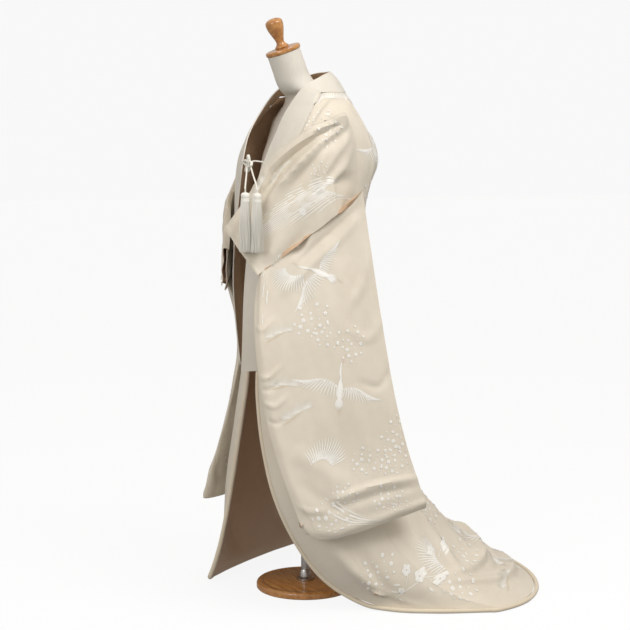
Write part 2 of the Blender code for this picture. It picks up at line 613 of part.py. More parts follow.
def sleeve(side, table, corner_rise, name, material):
    """A hanging sleeve: two layers joined along the top, the foot and below the cuff."""
    s = np.concatenate([[0, 0.07], np.linspace(0.17, 0.9, SLEEVE_COLUMNS - 3), [0.965, 1.0]])
    rows = np.array(SLEEVE_ROW_STEPS)
    cloud, cloud_out = robe_cloud(side)
    layers = []
    for outer in (True, False):
        points = sleeve_layer(side, table, corner_rise, s, rows, outer)
        edge = armhole_edge(side, rows, outer)
        hold = np.clip((SEWN_TO_ROW - rows) / SEWN_FADE, 0, 1)
        pull = hold[:, None] * np.clip(1 - s / SEWN_REACH, 0, 1)[None, :]**SEWN_EASE
        shift = (edge - points[:, 0])[:, None, :]
        points = points + shift * pull[..., None]
        points = settled(points, cloud, cloud_out, CLOTH_CLEARANCE)
        points[:, 0] = np.where(hold[:, None] > 0.99, edge, points[:, 0])
        layers.append(points)
    outer_points, inner_points = layers
    inner_points[0] = outer_points[0]
    inner_points[-1] = outer_points[-1]
    count = outer_points[..., 0].size
    outer_index = np.arange(count).reshape(len(rows), len(s))
    inner_index = outer_index + count
    inner_index[0] = outer_index[0]
    inner_index[-1] = outer_index[-1]
    for i, row in enumerate(rows):
        if row > CUFF_ROW + 0.3:
            inner_index[i, -1] = outer_index[i, -1]
    faces = grid_faces(outer_index, side < 0) + grid_faces(inner_index, side > 0)
    everything = np.concatenate([outer_points.reshape(-1, 3), inner_points.reshape(-1, 3)])
    used = sorted({v for face in faces for v in face})
    renumber = {old: new for new, old in enumerate(used)}
    faces = [tuple(renumber[v] for v in face) for face in faces]
    middle = everything[used]
    return wall(name, middle, mesh_facing(middle, faces), WALL, faces, material)


def mesh_facing(points, faces):
    """Average direction of the faces round each point."""
    out = np.zeros(points.shape)
    for face in faces:
        corners = points[list(face)]
        square = np.cross(corners[1] - corners[0], corners[2] - corners[0])
        for v in face:
            out[v] += square
    return unit(out)


def tube(name, path, radius, sides, material):
    """A closed round tube along a path, with flat ends."""
    path = np.asarray(path, float)
    along = unit(np.gradient(path, axis=0))
    level = np.tile([0.0, 0.0, 1.0], (len(path), 1))
    level[np.abs(along[:, 2]) > 0.85] = (1.0, 0.0, 0.0)
    first = unit(np.cross(level, along))
    for i in range(1, len(path)):
        turned = first[i - 1] - along[i] * np.dot(first[i - 1], along[i])
        first[i] = turned / np.linalg.norm(turned)
    second = np.cross(along, first)
    angle = np.linspace(0, 2 * math.pi, sides, endpoint=False) + math.pi / sides
    ring = (np.cos(angle)[None, :, None] * first[:, None, :]
            + np.sin(angle)[None, :, None] * second[:, None, :])
    points = (path[:, None, :] + ring * radius).reshape(-1, 3)
    faces = []
    for i in range(len(path) - 1):
        for j in range(sides):
            k = (j + 1) % sides
            faces.append((i * sides + j, i * sides + k, (i + 1) * sides + k, (i + 1) * sides + j))
    faces.append(tuple(reversed(range(sides))))
    faces.append(tuple(range((len(path) - 1) * sides, len(path) * sides)))
    return add_mesh(name, points, faces, material)


def padded_hem(side, name, material):
    """The padded roll along the front edge below the collar and round the hem."""
    down = [ring for ring in shared_rings() if ring > COLLAR_END]
    foot = float(LAST_RING)
    hem = np.concatenate([okumi_places(side, foot)[1:], front_places(side, foot)[1:],
                          back_places(side, foot)[1:]])
    q = np.concatenate([np.zeros(len(down)), hem])
    ring = np.concatenate([down, np.full(len(hem), foot)])
    edge = robe(side, q, ring)
    out = facing(robe, side, q, ring)
    away = mitred(edge, out) * side
    at_hem = ring > foot - 1e-6
    level = mitred(edge * (1.0, 1.0, 0.0), np.tile([0.0, 0.0, 1.0], (len(edge), 1))) * side
    reach = FUKI_RADIUS + FUKI_GAP + WALL / 2 * np.linalg.norm(out[:, :2], axis=1) * at_hem
    corner = int(np.argmax(at_hem))
    front = edge[:corner] + away[:corner] * reach[:corner, None]
    front[-1] = edge[corner - 1] + away[corner - 1] * reach[corner - 1] * CORNER_REACH
    turning = unit(away[corner - 1] + level[corner]) * reach[corner - 1] * CORNER_REACH
    between = (edge[corner - 1] + edge[corner]) / 2 + turning
    foot_line = edge[corner:] + level[corner:] * reach[corner:, None]
    path = np.concatenate([front, between[None], foot_line])
    path[:, 2] = np.maximum(path[:, 2], FUKI_RADIUS)
    path[corner + 1:, 2] = FUKI_RADIUS
    path[-1] = (side * SEAM_GAP, path[-1, 1], path[-1, 2])
    path[-2, 1] = path[-1, 1]
    return tube(name, path, FUKI_RADIUS, FUKI_SIDES, material)


def loft(name, sections, sides, material):
    """A closed solid through oval sections, each leaned forward about its middle."""
    angle = np.linspace(0, 2 * math.pi, sides, endpoint=False)
    points = []
    for z, half_x, half_y, mid_y, lean in sections * (CM, CM, CM, CM, math.radians(1)):
        deep = half_y * np.sin(angle)
        points.append(np.stack([half_x * np.cos(angle), mid_y + deep * math.cos(lean),
                                z + deep * math.sin(lean)], -1))
    points = np.concatenate(points)
    faces = []
    for i in range(len(sections) - 1):
        for j in range(sides):
            k = (j + 1) % sides
            faces.append((i * sides + j, i * sides + k, (i + 1) * sides + k, (i + 1) * sides + j))
    faces.append(tuple(reversed(range(sides))))
    faces.append(tuple(range((len(sections) - 1) * sides, len(sections) * sides)))
    return add_mesh(name, points, faces, material)


def turned(name, profile, sides, material, place=(0, 0, 0), lean=0.0):
    """A turned solid: profile of radius and height, leaned forward about its foot."""
    angle = np.linspace(0, 2 * math.pi, sides, endpoint=False)
    points, starts = [], []
    for radius, height in profile:
        starts.append(len(points))
        if radius <= 0:
            points.append((0.0, 0.0, height))
        else:
            points += [(radius * math.cos(a), radius * math.sin(a), height) for a in angle]
    faces = []
    for i in range(len(profile) - 1):
        low, high = starts[i], starts[i + 1]
        for j in range(sides):
            k = (j + 1) % sides
            if profile[i + 1][0] <= 0:
                faces.append((low + j, low + k, high))
            else:
                faces.append((low + j, low + k, high + k, high + j))
    faces.append(tuple(reversed(range(sides))))
    if profile[-1][0] > 0:
        faces.append(tuple(range(starts[-1], starts[-1] + sides)))
    thing = add_mesh(name, points, faces, material)
    thing.location = place
    thing.rotation_euler = (lean, 0, 0)
    return thing


def dress_form(linen, wood, metal):
    """The limbless form: torso with its leaning neck, cap, knob, pole and base."""
    loft("form_torso", TORSO, TORSO_SIDES, linen)
    up = np.array([0.0, -math.sin(NECK_LEAN), math.cos(NECK_LEAN)])
    cap_place = np.array(NECK_TOP) + up * SEAM_GAP
    edge = CAP_THICKNESS * 0.3
    cap_profile = [(CAP_RADIUS - edge, 0.0), (CAP_RADIUS, edge), (CAP_RADIUS, CAP_THICKNESS - edge),
                   (CAP_RADIUS - edge, CAP_THICKNESS)]
    turned("form_cap", cap_profile, 32, wood, cap_place, NECK_LEAN)
    knob_place = cap_place + up * (CAP_THICKNESS + SEAM_GAP)
    turned("form_knob", [(r * CM, h * CM) for r, h in KNOB_PROFILE], 20, wood, knob_place, NECK_LEAN)
    base_edge = 0.004
    turned("stand_base", [(BASE_RADIUS, 0.0), (BASE_RADIUS, BASE_HEIGHT - base_edge),
                          (BASE_RADIUS - base_edge, BASE_HEIGHT)], 40, wood)
    pole_top = TORSO[0, 0] * CM - SEAM_GAP
    turned("stand_pole", [(POLE_RADIUS, BASE_HEIGHT + SEAM_GAP), (POLE_RADIUS, pole_top)], 16, metal)


def tassel(name, head, material):
    """A tassel: a bound head whose foot runs out into separate strands."""
    mesh = bmesh.new()
    rings = []
    profile = [(0.35, 0.0), (0.8, -0.12), (1.0, -0.4), (0.92, -0.62), (1.0, -1.0)]
    for share, height in profile:
        rings.append([mesh.verts.new((TASSEL_RADIUS * share * math.cos(2 * math.pi * j / TASSEL_SEGMENTS),
                                      TASSEL_RADIUS * share * math.sin(2 * math.pi * j / TASSEL_SEGMENTS),
                                      height * TASSEL_HEAD_HEIGHT)) for j in range(TASSEL_SEGMENTS)])
    mesh.faces.new(rings[0])
    inner = []
    for share in (0.62, 0.26):
        inner.append([mesh.verts.new((TASSEL_RADIUS * share * math.cos(2 * math.pi * j / TASSEL_SEGMENTS),
                                      TASSEL_RADIUS * share * math.sin(2 * math.pi * j / TASSEL_SEGMENTS),
                                      -TASSEL_HEAD_HEIGHT)) for j in range(TASSEL_SEGMENTS)])
    strand_faces = []
    for level, (upper, lower) in enumerate(zip(rings + inner[:1], rings[1:] + inner)):
        for j in range(TASSEL_SEGMENTS):
            k = (j + 1) % TASSEL_SEGMENTS
            face = mesh.faces.new((upper[j], lower[j], lower[k], upper[k]))
            if level >= len(profile) - 1:
                strand_faces.append(face)
    mesh.faces.new(list(reversed(inner[-1])))
    bmesh.ops.recalc_face_normals(mesh, faces=mesh.faces)
    bmesh.ops.inset_individual(mesh, faces=strand_faces, thickness=0.0005)
    pulled = bmesh.ops.extrude_discrete_faces(mesh, faces=strand_faces)["faces"]
    for number, face in enumerate(pulled):
        middle = face.calc_center_median()
        flare = 1.0 + 0.22 + 0.05 * math.sin(number * 2.4)
        length = TASSEL_STRAND_LENGTH * (1.0 + 0.012 * math.sin(number * 1.7))
        for vert in face.verts:
            vert.co.x = middle.x * flare + (vert.co.x - middle.x)
            vert.co.y = middle.y * flare + (vert.co.y - middle.y)
            vert.co.z -= length
    bmesh.ops.recalc_face_normals(mesh, faces=mesh.faces)
    data = bpy.data.meshes.new(name)
    mesh.to_mesh(data)
    mesh.free()
    data.materials.append(material)
    thing = bpy.data.objects.new(name, data)
    thing.location = head
    bpy.context.scene.collection.objects.link(thing)
    return thing


def smooth_path(points, count):
    """A smooth route through a few points."""
    return smooth_rows(np.array(points, float), np.linspace(0, len(points) - 1, count))


def front_tie(material):
    """Knot, collar loops, cords and tassels of the front tie."""
    knot = np.array(KNOT)
    profile = [(0.003, -0.011), (0.0095, -0.008), (0.012, 0.0), (0.0095, 0.008), (0.003, 0.011)]
    turned("tie_knot", profile, 12, material, KNOT)
    left_edge = knot + np.array([0.0372, 0.0243, 0.004])
    right_edge = knot + np.array([-0.0507, 0.0024, 0.006])
    tube("tie_loop_left", smooth_path([knot + (0.0125, 0, 0.002), knot + (0.022, 0.002, 0.007), left_edge], 8),
         CORD_RADIUS, 6, material)
    tube("tie_loop_right", smooth_path([knot + (-0.0125, 0, 0.002), knot + (-0.024, -0.004, 0.008),
                                        right_edge], 8), CORD_RADIUS, 6, material)
    starts = [knot + (0.0027, -0.0105, -0.0086), knot + (0.0094, -0.0023, -0.0082)]
    for number, (start, head, name) in enumerate(zip(starts, TASSEL_HEADS, ("right", "left"))):
        end = np.array(head) + (0, 0, SEAM_GAP)
        first = start * 0.6 + end * 0.4 + (0, 0, 0.004)
        over = start * 0.2 + end * 0.8 + (0, 0, 0.012)
        tube("tie_cord_" + name, smooth_path([start, first, over, end + (0, 0, 0.012),
                                              end + (0, 0, 0.006), end], 16),
             CORD_RADIUS, 6, material)
        tassel("tassel_" + name, head, material)


def build():
    """Make every piece of the robe and of the form that carries it."""
    clear_scene()
    brocade = finish("brocade", CREAM, 0.45)
    band = finish("collar_brocade", CREAM, 0.5)
    roll = finish("padded_roll", CREAM_DEEP, 0.5)
    lining = finish("lining", PEACH, 0.6)
    linen = finish("linen", LINEN, 0.85)
    wood = finish("turned_wood", OAK, 0.35)
    metal = finish("pole_metal", METAL, 0.35, 1.0)
    silk = finish("tie_silk", SILK_WHITE, 0.5)
    for side, word in ((1, "left"), (-1, "right")):
        body_panel(side, "body_" + word, brocade)
        okumi_panel(side, "okumi_" + word, brocade)
        skirt_lining(side, "lining_" + word, lining)
        padded_hem(side, "fuki_" + word, roll)
    sleeve(1, LEFT_SLEEVE, LEFT_CORNER_RISE, "sleeve_left", brocade)
    sleeve(-1, RIGHT_SLEEVE, RIGHT_CORNER_RISE, "sleeve_right", brocade)
    collar_band("collar", band)
    dress_form(linen, wood, metal)
    front_tie(silk)


build()
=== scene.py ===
"""Looks of an uchikake, the trailing wedding over-kimono, on a limbless dress form.

The robe is made panel by panel, as it is sewn: each panel is a surface of two parameters
taken from the pattern tables below, with creases laid over it, a brocade face, a silk
lining and woven figures in satin. Metres, +Z up, the robe faces -Y.
"""

import logging
import math
from dataclasses import dataclass
from enum import Enum
from typing import Callable, Sequence

import bpy
import numpy as np
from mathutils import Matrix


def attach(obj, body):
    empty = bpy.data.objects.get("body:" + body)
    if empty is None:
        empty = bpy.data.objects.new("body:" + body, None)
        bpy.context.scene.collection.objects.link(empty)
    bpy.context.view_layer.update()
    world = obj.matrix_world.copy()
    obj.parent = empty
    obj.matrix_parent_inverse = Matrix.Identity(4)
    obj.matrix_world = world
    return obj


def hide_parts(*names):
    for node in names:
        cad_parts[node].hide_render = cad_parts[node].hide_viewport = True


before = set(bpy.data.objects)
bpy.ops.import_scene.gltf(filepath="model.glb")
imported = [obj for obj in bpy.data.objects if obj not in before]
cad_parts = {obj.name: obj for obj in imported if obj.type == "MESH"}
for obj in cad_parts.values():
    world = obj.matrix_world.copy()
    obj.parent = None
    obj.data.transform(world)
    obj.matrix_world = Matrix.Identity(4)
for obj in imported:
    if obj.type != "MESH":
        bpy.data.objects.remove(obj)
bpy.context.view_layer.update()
LOG = logging.getLogger("robe")
Array = np.ndarray
CM = 0.01

# Pattern tables, in centimetres, the same as those of the solids
RINGS = np.array([
    # Fx     Fy     Fz     Sx    Sy     Sz     By    Bz     round  RFx   RFy    RFz   flat
    (12.3,  -2.0, 149.8,  10.8,  4.3, 150.5,  11.6, 151.0, 1.00,  12.3,  -2.2, 149.8, 0.00),
    (13.8,  -5.5, 145.0,  14.8,  3.4, 148.3,  12.6, 146.5, 1.00,  13.8,  -6.3, 145.0, 0.00),
    (14.3,  -8.8, 139.5,  17.8,  2.4, 145.3,  14.2, 141.0, 0.95,  14.4, -10.8, 139.5, 0.00),
    (13.5, -11.8, 133.5,  20.0,  2.0, 139.0,  17.8, 135.5, 0.85,  13.8, -14.3, 133.5, 0.00),
    (12.4, -14.2, 127.5,  20.6,  2.0, 131.0,  18.9, 130.0, 0.80,  12.6, -16.2, 127.5, 0.00),
    (12.0, -16.2, 120.0,  20.6,  1.5, 123.0,  17.0, 124.0, 0.85,  12.0, -17.0, 120.0, 0.00),
    (12.5, -17.8, 111.0,  20.2,  1.0, 114.0,  15.9, 117.0, 0.90,  12.3, -17.0, 111.0, 0.00),
    (13.5, -19.3, 101.0,  20.2,  0.0, 104.0,  17.0, 108.0, 0.95,  12.6, -16.0, 101.0, 0.00),
    (14.3, -21.0,  90.0,  20.8, -1.0,  93.0,  19.2,  97.0, 1.00,  12.6, -15.0,  90.0, 0.00),
    (14.0, -22.0,  78.0,  22.0, -1.0,  80.0,  22.2,  82.0, 1.00,  11.6, -14.3,  78.0, 0.00),
    (13.0, -22.7,  66.5,  23.8,  0.0,  67.0,  25.2,  67.0, 1.00,  10.4, -14.6,  66.5, 0.00),
    (15.2, -22.4,  50.0,  26.5,  2.0,  50.0,  29.0,  48.0, 1.00,  12.0, -16.3,  50.0, 0.00),
    (18.5, -20.2,  34.4,  29.5,  5.0,  34.0,  34.6,  32.0, 1.00,  13.6, -18.2,  34.4, 0.00),
    (21.0, -15.0,  21.4,  33.0,  9.5,  21.0,  44.0,  19.5, 1.00,  15.0, -19.8,  21.4, 0.20),
    (23.4,  -8.0,  10.8,  38.5, 17.0,  10.5,  56.0,  11.6, 1.00,  16.6, -21.3,  10.8, 0.45),
    (27.0,  -0.5,   4.4,  44.5, 26.0,   4.2,  65.5,   4.8, 1.00,  18.4, -22.3,   4.4, 0.70),
    (33.5,   7.5,   0.9,  50.0, 36.0,   0.9,  71.5,   0.9, 1.00,  20.0, -22.8,   0.9, 0.75),
])
LAST_RING = len(RINGS) - 1
ARMHOLE_TOP = 2.2
ARMHOLE_FOOT = 6.0
ARMHOLE_HALF_WIDTH = 0.034
OKUMI_TOP = 5.2
COLLAR_END = 9.7
LINING_TOP = 8.9
FOLD_FADE = 2.2
FOLDS = [
    # side  place_top  place_hem  ring_from  ring_to  height_cm  half_width
    (+1, 0.55, 0.42,  9.0, 16.0, 2.0, 0.09),
    (+1, 1.20, 1.10, 10.0, 16.0, 2.2, 0.10),
    (+1, 1.55, 1.48,  8.0, 16.0, 1.5, 0.08),
    (+1, 1.86, 1.84, 11.0, 16.0, 1.6, 0.07),
    (-1, 0.50, 0.36,  9.5, 16.0, 2.2, 0.10),
    (-1, 0.96, 0.90,  9.0, 16.0, 1.8, 0.09),
    (-1, 1.38, 1.30,  8.5, 16.0, 2.1, 0.10),
    (-1, 1.74, 1.70,  9.5, 16.0, 1.7, 0.08),
    (+1, 1.60, 1.75,  1.5,  7.0, 0.8, 0.07),
    (-1, 1.60, 1.75,  1.5,  7.0, 0.8, 0.07),
]
COLLAR_FREE = np.array([
    # seam    x      y      z     forward
    (0.0,    0.0,   7.2, 157.2,  0.0),
    (7.0,    4.4,   6.0, 157.0,  0.0),
    (13.5,   7.4,   1.0, 155.2,  0.0),
    (20.0,   7.6,  -5.2, 151.6,  0.3),
    (27.0,   6.6, -10.0, 145.0,  1.6),
    (33.5,   5.8, -13.0, 138.6,  2.8),
    (40.5,   4.7, -15.6, 132.0,  2.6),
    (47.0,   4.2, -17.8, 126.0,  1.6),
    (56.0,   4.4, -20.0, 117.0,  0.4),
    (67.0,   5.6, -22.2, 106.0, -1.2),
    (80.0,   6.9, -24.2,  93.0, -3.4),
    (95.0,   7.6, -25.2,  78.0, -6.0),
    (105.0,  7.2, -25.4,  69.5, -7.0),
])
LEFT_SLEEVE = np.array([
    # Ax     Ay     Az     Cx    Cy    Cz    outer inner  turn   bow  swell
    (5.0,  -29.3, 111.3,  19.6,  3.9, 145.2,  0.0,  0.0, -38.0, 4.0, 0.0),
    (6.5,  -28.4, 109.2,  20.4,  4.0, 141.5,  2.6,  2.0, -38.0, 3.4, 0.0),
    (9.0,  -26.8, 105.5,  21.5,  4.2, 134.0,  3.9,  3.0, -38.0, 2.4, 0.4),
    (11.6, -25.0, 101.6,  22.6,  4.6, 126.5,  4.1,  3.0, -36.0, 1.2, 0.4),
    (14.2, -23.2,  97.6,  24.2,  5.0, 119.6,  3.0,  2.2, -34.0, 0.2, 0.0),
    (14.4, -23.0,  99.2,  24.3,  5.2, 121.4,  1.2,  1.0, -30.0, 0.0, 0.0),
    (16.0, -25.4,  91.0,  26.6,  6.0, 108.0,  0.9,  0.9, -22.0, 0.0, 0.0),
    (19.6, -27.2,  78.8,  29.6,  7.2,  91.0,  0.8,  0.9, -19.0, 0.0, 0.0),
    (22.4, -26.8,  65.0,  32.8,  8.8,  73.0,  0.8,  0.9, -19.0, 0.0, 0.0),
    (25.2, -25.0,  50.0,  36.2, 11.0,  55.0,  0.9,  0.9, -19.0, -0.6, 0.0),
    (28.0, -22.4,  37.0,  39.0, 14.0,  41.0,  0.9,  0.9, -18.0, -1.0, 0.0),
    (30.4, -18.8,  23.4,  41.0, 16.4,  32.4,  0.8,  0.8, -18.0, -1.0, 0.0),
    (30.8, -18.4,  22.2,  41.2, 16.6,  31.2,  0.0,  0.0, -18.0, -1.0, 0.0),
])
RIGHT_SLEEVE = np.array([
    # Ax     Ay     Az     Cx    Cy    Cz    outer inner  turn   bow  swell
    (4.0,  -22.6, 104.5,  19.6,  3.9, 145.2,  0.0,  0.0, -30.0, 2.0, 6.0),
    (4.6,  -22.8, 102.4,  20.4,  4.0, 141.5,  1.6,  1.6, -30.0, 1.6, 6.4),
    (5.8,  -22.9,  98.8,  21.5,  4.2, 134.0,  2.6,  2.2, -30.0, 1.2, 6.8),
    (7.0,  -23.2,  95.4,  22.6,  4.6, 126.5,  2.6,  2.2, -30.0, 0.8, 6.4),
    (8.2,  -23.4,  92.0,  24.2,  5.0, 119.6,  2.2,  2.0, -30.0, 0.2, 5.4),
    (9.6,  -21.0,  93.6,  24.3,  5.2, 121.4,  1.2,  1.0, -28.0, 0.0, 4.8),
    (14.4, -14.6,  85.4,  26.6,  6.0, 108.0,  0.9,  0.9, -22.0, 0.0, 2.5),
    (20.4, -10.8,  72.4,  29.6,  7.2,  91.0,  0.8,  0.9, -18.0, 0.0, 1.0),
    (23.2, -12.4,  59.0,  32.8,  8.8,  73.0,  0.8,  0.9, -16.0, 0.0, 0.5),
    (26.2, -14.8,  46.0,  36.2, 11.0,  55.0,  0.9,  0.9, -16.0, -0.6, 0.0),
    (29.0, -17.6,  33.0,  39.0, 14.0,  40.0,  0.9,  0.9, -16.0, -1.0, 0.0),
    (31.2, -19.4,  24.0,  41.0, 16.4,  30.0,  0.8,  0.8, -16.0, -1.0, 0.0),
    (31.4, -19.6,  22.8,  41.2, 16.6,  28.8,  0.0,  0.0, -16.0, -1.0, 0.0),
])
SLEEVE_ROW_STEPS = [0, 0.3, 0.7, 1.1, 1.5, 1.9, 2.3, 2.7, 3.1, 3.5, 3.85, 4.0, 4.45, 5.0,
                    5.5, 6.2, 7.0, 7.8, 8.6, 9.4, 10.2, 10.7, 11.0, 12.0]
SLEEVE_FOLDS = [
    # row_cuff  row_body  height_cm  half_width
    (0.80, 0.20,  0.9, 0.38),
    (1.60, 0.55, -1.3, 0.36),
    (2.50, 1.20,  1.0, 0.40),
    (3.40, 2.20, -0.8, 0.40),
    (9.40, 9.00, -0.7, 0.38),
    (10.3, 10.1,  0.8, 0.34),
]
TORSO = np.array([
    # z      half_x  half_y  mid_y  lean
    (70.0,   10.0,    7.4,   1.0,   0.0),
    (73.0,   14.6,   10.4,   1.0,   0.0),
    (82.0,   15.8,   11.4,   1.2,   0.0),
    (92.0,   15.6,   11.0,   1.2,   0.0),
    (102.0,  12.4,    9.4,   0.4,   0.0),
    (108.0,  11.6,    9.0,   0.0,   0.0),
    (116.0,  12.8,   10.0,  -0.6,   0.0),
    (124.0,  14.2,   11.4,  -1.4,   0.0),
    (131.0,  16.06,  11.0,  -0.8,   0.0),
    (137.0,  17.97,   9.6,   0.8,   0.0),
    (142.59, 18.79,   8.0,   1.8,   0.0),
    (145.59, 17.29,   6.6,   2.4,   0.0),
    (148.09, 14.69,   5.6,   2.6,   1.0),
    (150.18, 10.36,   5.2,   1.0,   4.0),
    (152.14,  6.84,   5.2,  -1.8,  12.0),
    (154.8,   5.2,    5.1,  -4.0,  18.0),
    (158.6,   5.0,    5.0,  -5.6,  21.0),
    (162.45,  5.0,    5.0,  -7.15, 21.5),
])

# Sizes shared by several panels, in metres
SEAM_GAP = 0.0003
FACE_WALL = 0.0022
LINING_WALL = 0.0012
ARMHOLE_STAND_OFF = 0.00305
GOLDEN_ANGLE = 2.39996
EVENING_ROUNDS = 7
OKUMI_WIDTH = 0.15
OKUMI_TIP = 0.003
FUKI_RADIUS = 0.007
FUKI_GAP = 0.0009
LINING_INSET = 0.0026
CLOTH_CLEARANCE = 0.013
CLEARING_REACH = 0.12
FIGURE_LIFT = 0.0007


class Side(Enum):
    """The wearer's two sides, with the sign of x on each."""

    LEFT = 1
    RIGHT = -1

    @property
    def word(self) -> str:
        """The side's name in lower case."""
        return self.name.lower()


def smooth_rows(table: Array, where: Array) -> Array:
    """Read a table at fractional rows, on a smooth curve through its rows.

    The curve is the cubic through each row whose slope is half the step between the rows
    on its two sides.

    Args:
        table: Rows of values.
        where: Row numbers, which may be fractions.

    Returns:
        One set of values for each row number.
    """
    where = np.clip(np.asarray(where, float), 0, len(table) - 1)
    low = np.clip(np.floor(where).astype(int), 0, len(table) - 2)
    f = (where - low)[(...,) + (None,) * (table.ndim - 1)]
    before, here = table[np.maximum(low - 1, 0)], table[low]
    after, beyond = table[low + 1], table[np.minimum(low + 2, len(table) - 1)]
    rise_here, rise_after = (after - before) / 2, (beyond - here) / 2
    return (here * (2 * f**3 - 3 * f**2 + 1) + rise_here * (f**3 - 2 * f**2 + f)
            + after * (3 * f**2 - 2 * f**3) + rise_after * (f**3 - f**2))


def unit(vectors: Array) -> Array:
    """Vectors of length one."""
    return vectors / np.maximum(np.linalg.norm(vectors, axis=-1, keepdims=True), 1e-12)


def run_along(points: Array) -> Array:
    """Distance from the first point along a row of points, in metres."""
    steps = np.linalg.norm(np.diff(points, axis=0), axis=-1)
    return np.concatenate([np.zeros((1,) + steps.shape[1:]), np.cumsum(steps, axis=0)])


def soft_noise(points: Array, wave: float, seed: int = 0) -> Array:
    """Smooth unevenness: a sum of sines that cross at odd angles.

    Args:
        points: Places, in metres.
        wave: The longest wavelength, in metres.
        seed: Picks another set of phases.

    Returns:
        Values of about -1 to 1.
    """
    total = np.zeros(points.shape[:-1])
    for k in range(5):
        way = np.array([math.sin(1.7 * k + seed), math.cos(2.3 * k + seed * 1.3),
                        math.sin(3.1 * k + 0.7 * seed)])
        way = way / np.linalg.norm(way)
        scale = 2 * math.pi / wave * (1 + 0.55 * k)
        total += np.sin(points @ way * scale + 1.9 * k + seed * 2.1) / (1 + 0.6 * k)
    return total / 2.2


# Panels

@dataclass(frozen=True)
class Crease:
    """A soft ridge or trough along a route over a panel.

    Attributes:
        route: Places in the panel's own two parameters.
        height: Metres out of the cloth, less than zero for a trough.
        width: Half width, in metres.
        lean: From -1 to 1, how much steeper one flank is than the other.
    """

    route: tuple[tuple[float, float], ...]
    height: float
    width: float
    lean: float = 0.0


class Panel:
    """A piece of cloth as a surface of two parameters, with creases laid over it."""

    creases: Sequence[Crease] = ()
    waviness: float = 0.0008
    wave: float = 0.16
    step: float = 0.02
    limits: tuple[float, float, float, float] = (0.0, 1.0, 0.0, 1.0)
    outward: float = 1.0

    def plain(self, a: Array, b: Array) -> Array:
        """Points of the panel without its creases."""
        raise NotImplementedError

    def facing(self, a: Array, b: Array) -> Array:
        """Ways out of the cloth: the cross product of its two tangents.

        Args:
            a: First parameter.
            b: Second parameter.

        Returns:
            Vectors of length one.
        """
        low_a, high_a, low_b, high_b = self.limits
        along_a = (self.plain(np.clip(a + self.step, low_a, high_a), b)
                   - self.plain(np.clip(a - self.step, low_a, high_a), b))
        along_b = (self.plain(a, np.clip(b + self.step, low_b, high_b))
                   - self.plain(a, np.clip(b - self.step, low_b, high_b)))
        return unit(np.cross(along_b, along_a)) * self.outward

    def relief(self, points: Array, out: Array) -> Array:
        """Height of the creases at places on the panel.

        Each crease is a bell across its route, which swells from one end and fades to the
        other as a half sine.

        Args:
            points: Places on the plain panel.
            out: Ways out of the cloth there.

        Returns:
            Heights in metres.
        """
        flat, ways = points.reshape(-1, 3), out.reshape(-1, 3)
        total = self.waviness * soft_noise(flat, self.wave)
        for crease in self.creases:
            stops = np.array(crease.route, float)
            fine = smooth_rows(stops, np.linspace(0, len(stops) - 1, 20))
            line = self.plain(fine[:, 0], fine[:, 1])
            apart = flat[:, None, :] - line[None, :, :]
            nearest = np.argmin((apart**2).sum(-1), axis=1)
            along = unit(np.gradient(line, axis=0))[nearest]
            offset = flat - line[nearest]
            run = (offset * along).sum(-1)
            across = (np.cross(along, ways) * offset).sum(-1)
            ahead = np.clip((nearest + run / (run_along(line)[-1] / 19)) / 19, 0, 1)
            beyond = np.where((nearest == 0) | (nearest == 19), np.abs(run), 0)
            width = crease.width * (1 + crease.lean * np.tanh(across / crease.width))
            bell = np.exp(-(across / width)**2 - (beyond / (2 * crease.width))**2)
            total = total + crease.height * bell * np.sqrt(np.sin(math.pi * (0.04 + 0.92 * ahead)))
        return total.reshape(points.shape[:-1])

    def fade(self, a: Array, b: Array) -> Array:
        """Share of the creases that is left at a place, less near sewn edges."""
        raise NotImplementedError

    def surface(self, a: Array, b: Array, lift: Array | float = 0.0) -> tuple[Array, Array]:
        """Creased points and ways out.

        Args:
            a: First parameter.
            b: Second parameter.
            lift: Metres above the creased cloth.

        Returns:
            Points and vectors of length one.
        """
        a, b = np.broadcast_arrays(np.asarray(a, float), np.asarray(b, float))
        points, out = self.plain(a, b), self.facing(a, b)
        height = self.relief(points, out) * self.fade(a, b) + lift
        return points + out * height[..., None], out

    def local(self, a: float, b: float, flat: Array, turn: float = 0.0) -> tuple[Array, Array]:
        """Parameters of a flat figure laid on the panel round one place.

        The figure's x and y are carried into the tangent plane, with y up the cloth, and
        from there into the two parameters by the inverse of the panel's two tangents.

        Args:
            a: First parameter of the place.
            b: Second parameter of the place.
            flat: Points of the figure, in metres.
            turn: Degrees that the figure is turned by.

        Returns:
            The two parameters of each point.
        """
        here = np.array([a, a + self.step, a, a - self.step, a])
        there = np.array([b, b, b + self.step, b, b - self.step])
        spots = self.plain(here, there)
        along_a, along_b = (spots[1] - spots[3]) / (2 * self.step), (spots[2] - spots[4]) / (2 * self.step)
        out = unit(np.cross(along_b, along_a)) * self.outward
        up = unit(np.array([0.0, 0.0, 1.0]) - out * out[2])
        right = np.cross(up, out)
        angle = math.radians(turn)
        x = flat[..., 0] * math.cos(angle) - flat[..., 1] * math.sin(angle)
        y = flat[..., 0] * math.sin(angle) + flat[..., 1] * math.cos(angle)
        basis = np.array([[along_a @ right, along_b @ right], [along_a @ up, along_b @ up]])
        da, db = np.linalg.solve(basis, np.stack([x.ravel(), y.ravel()]))
        return a + da.reshape(x.shape), b + db.reshape(x.shape)


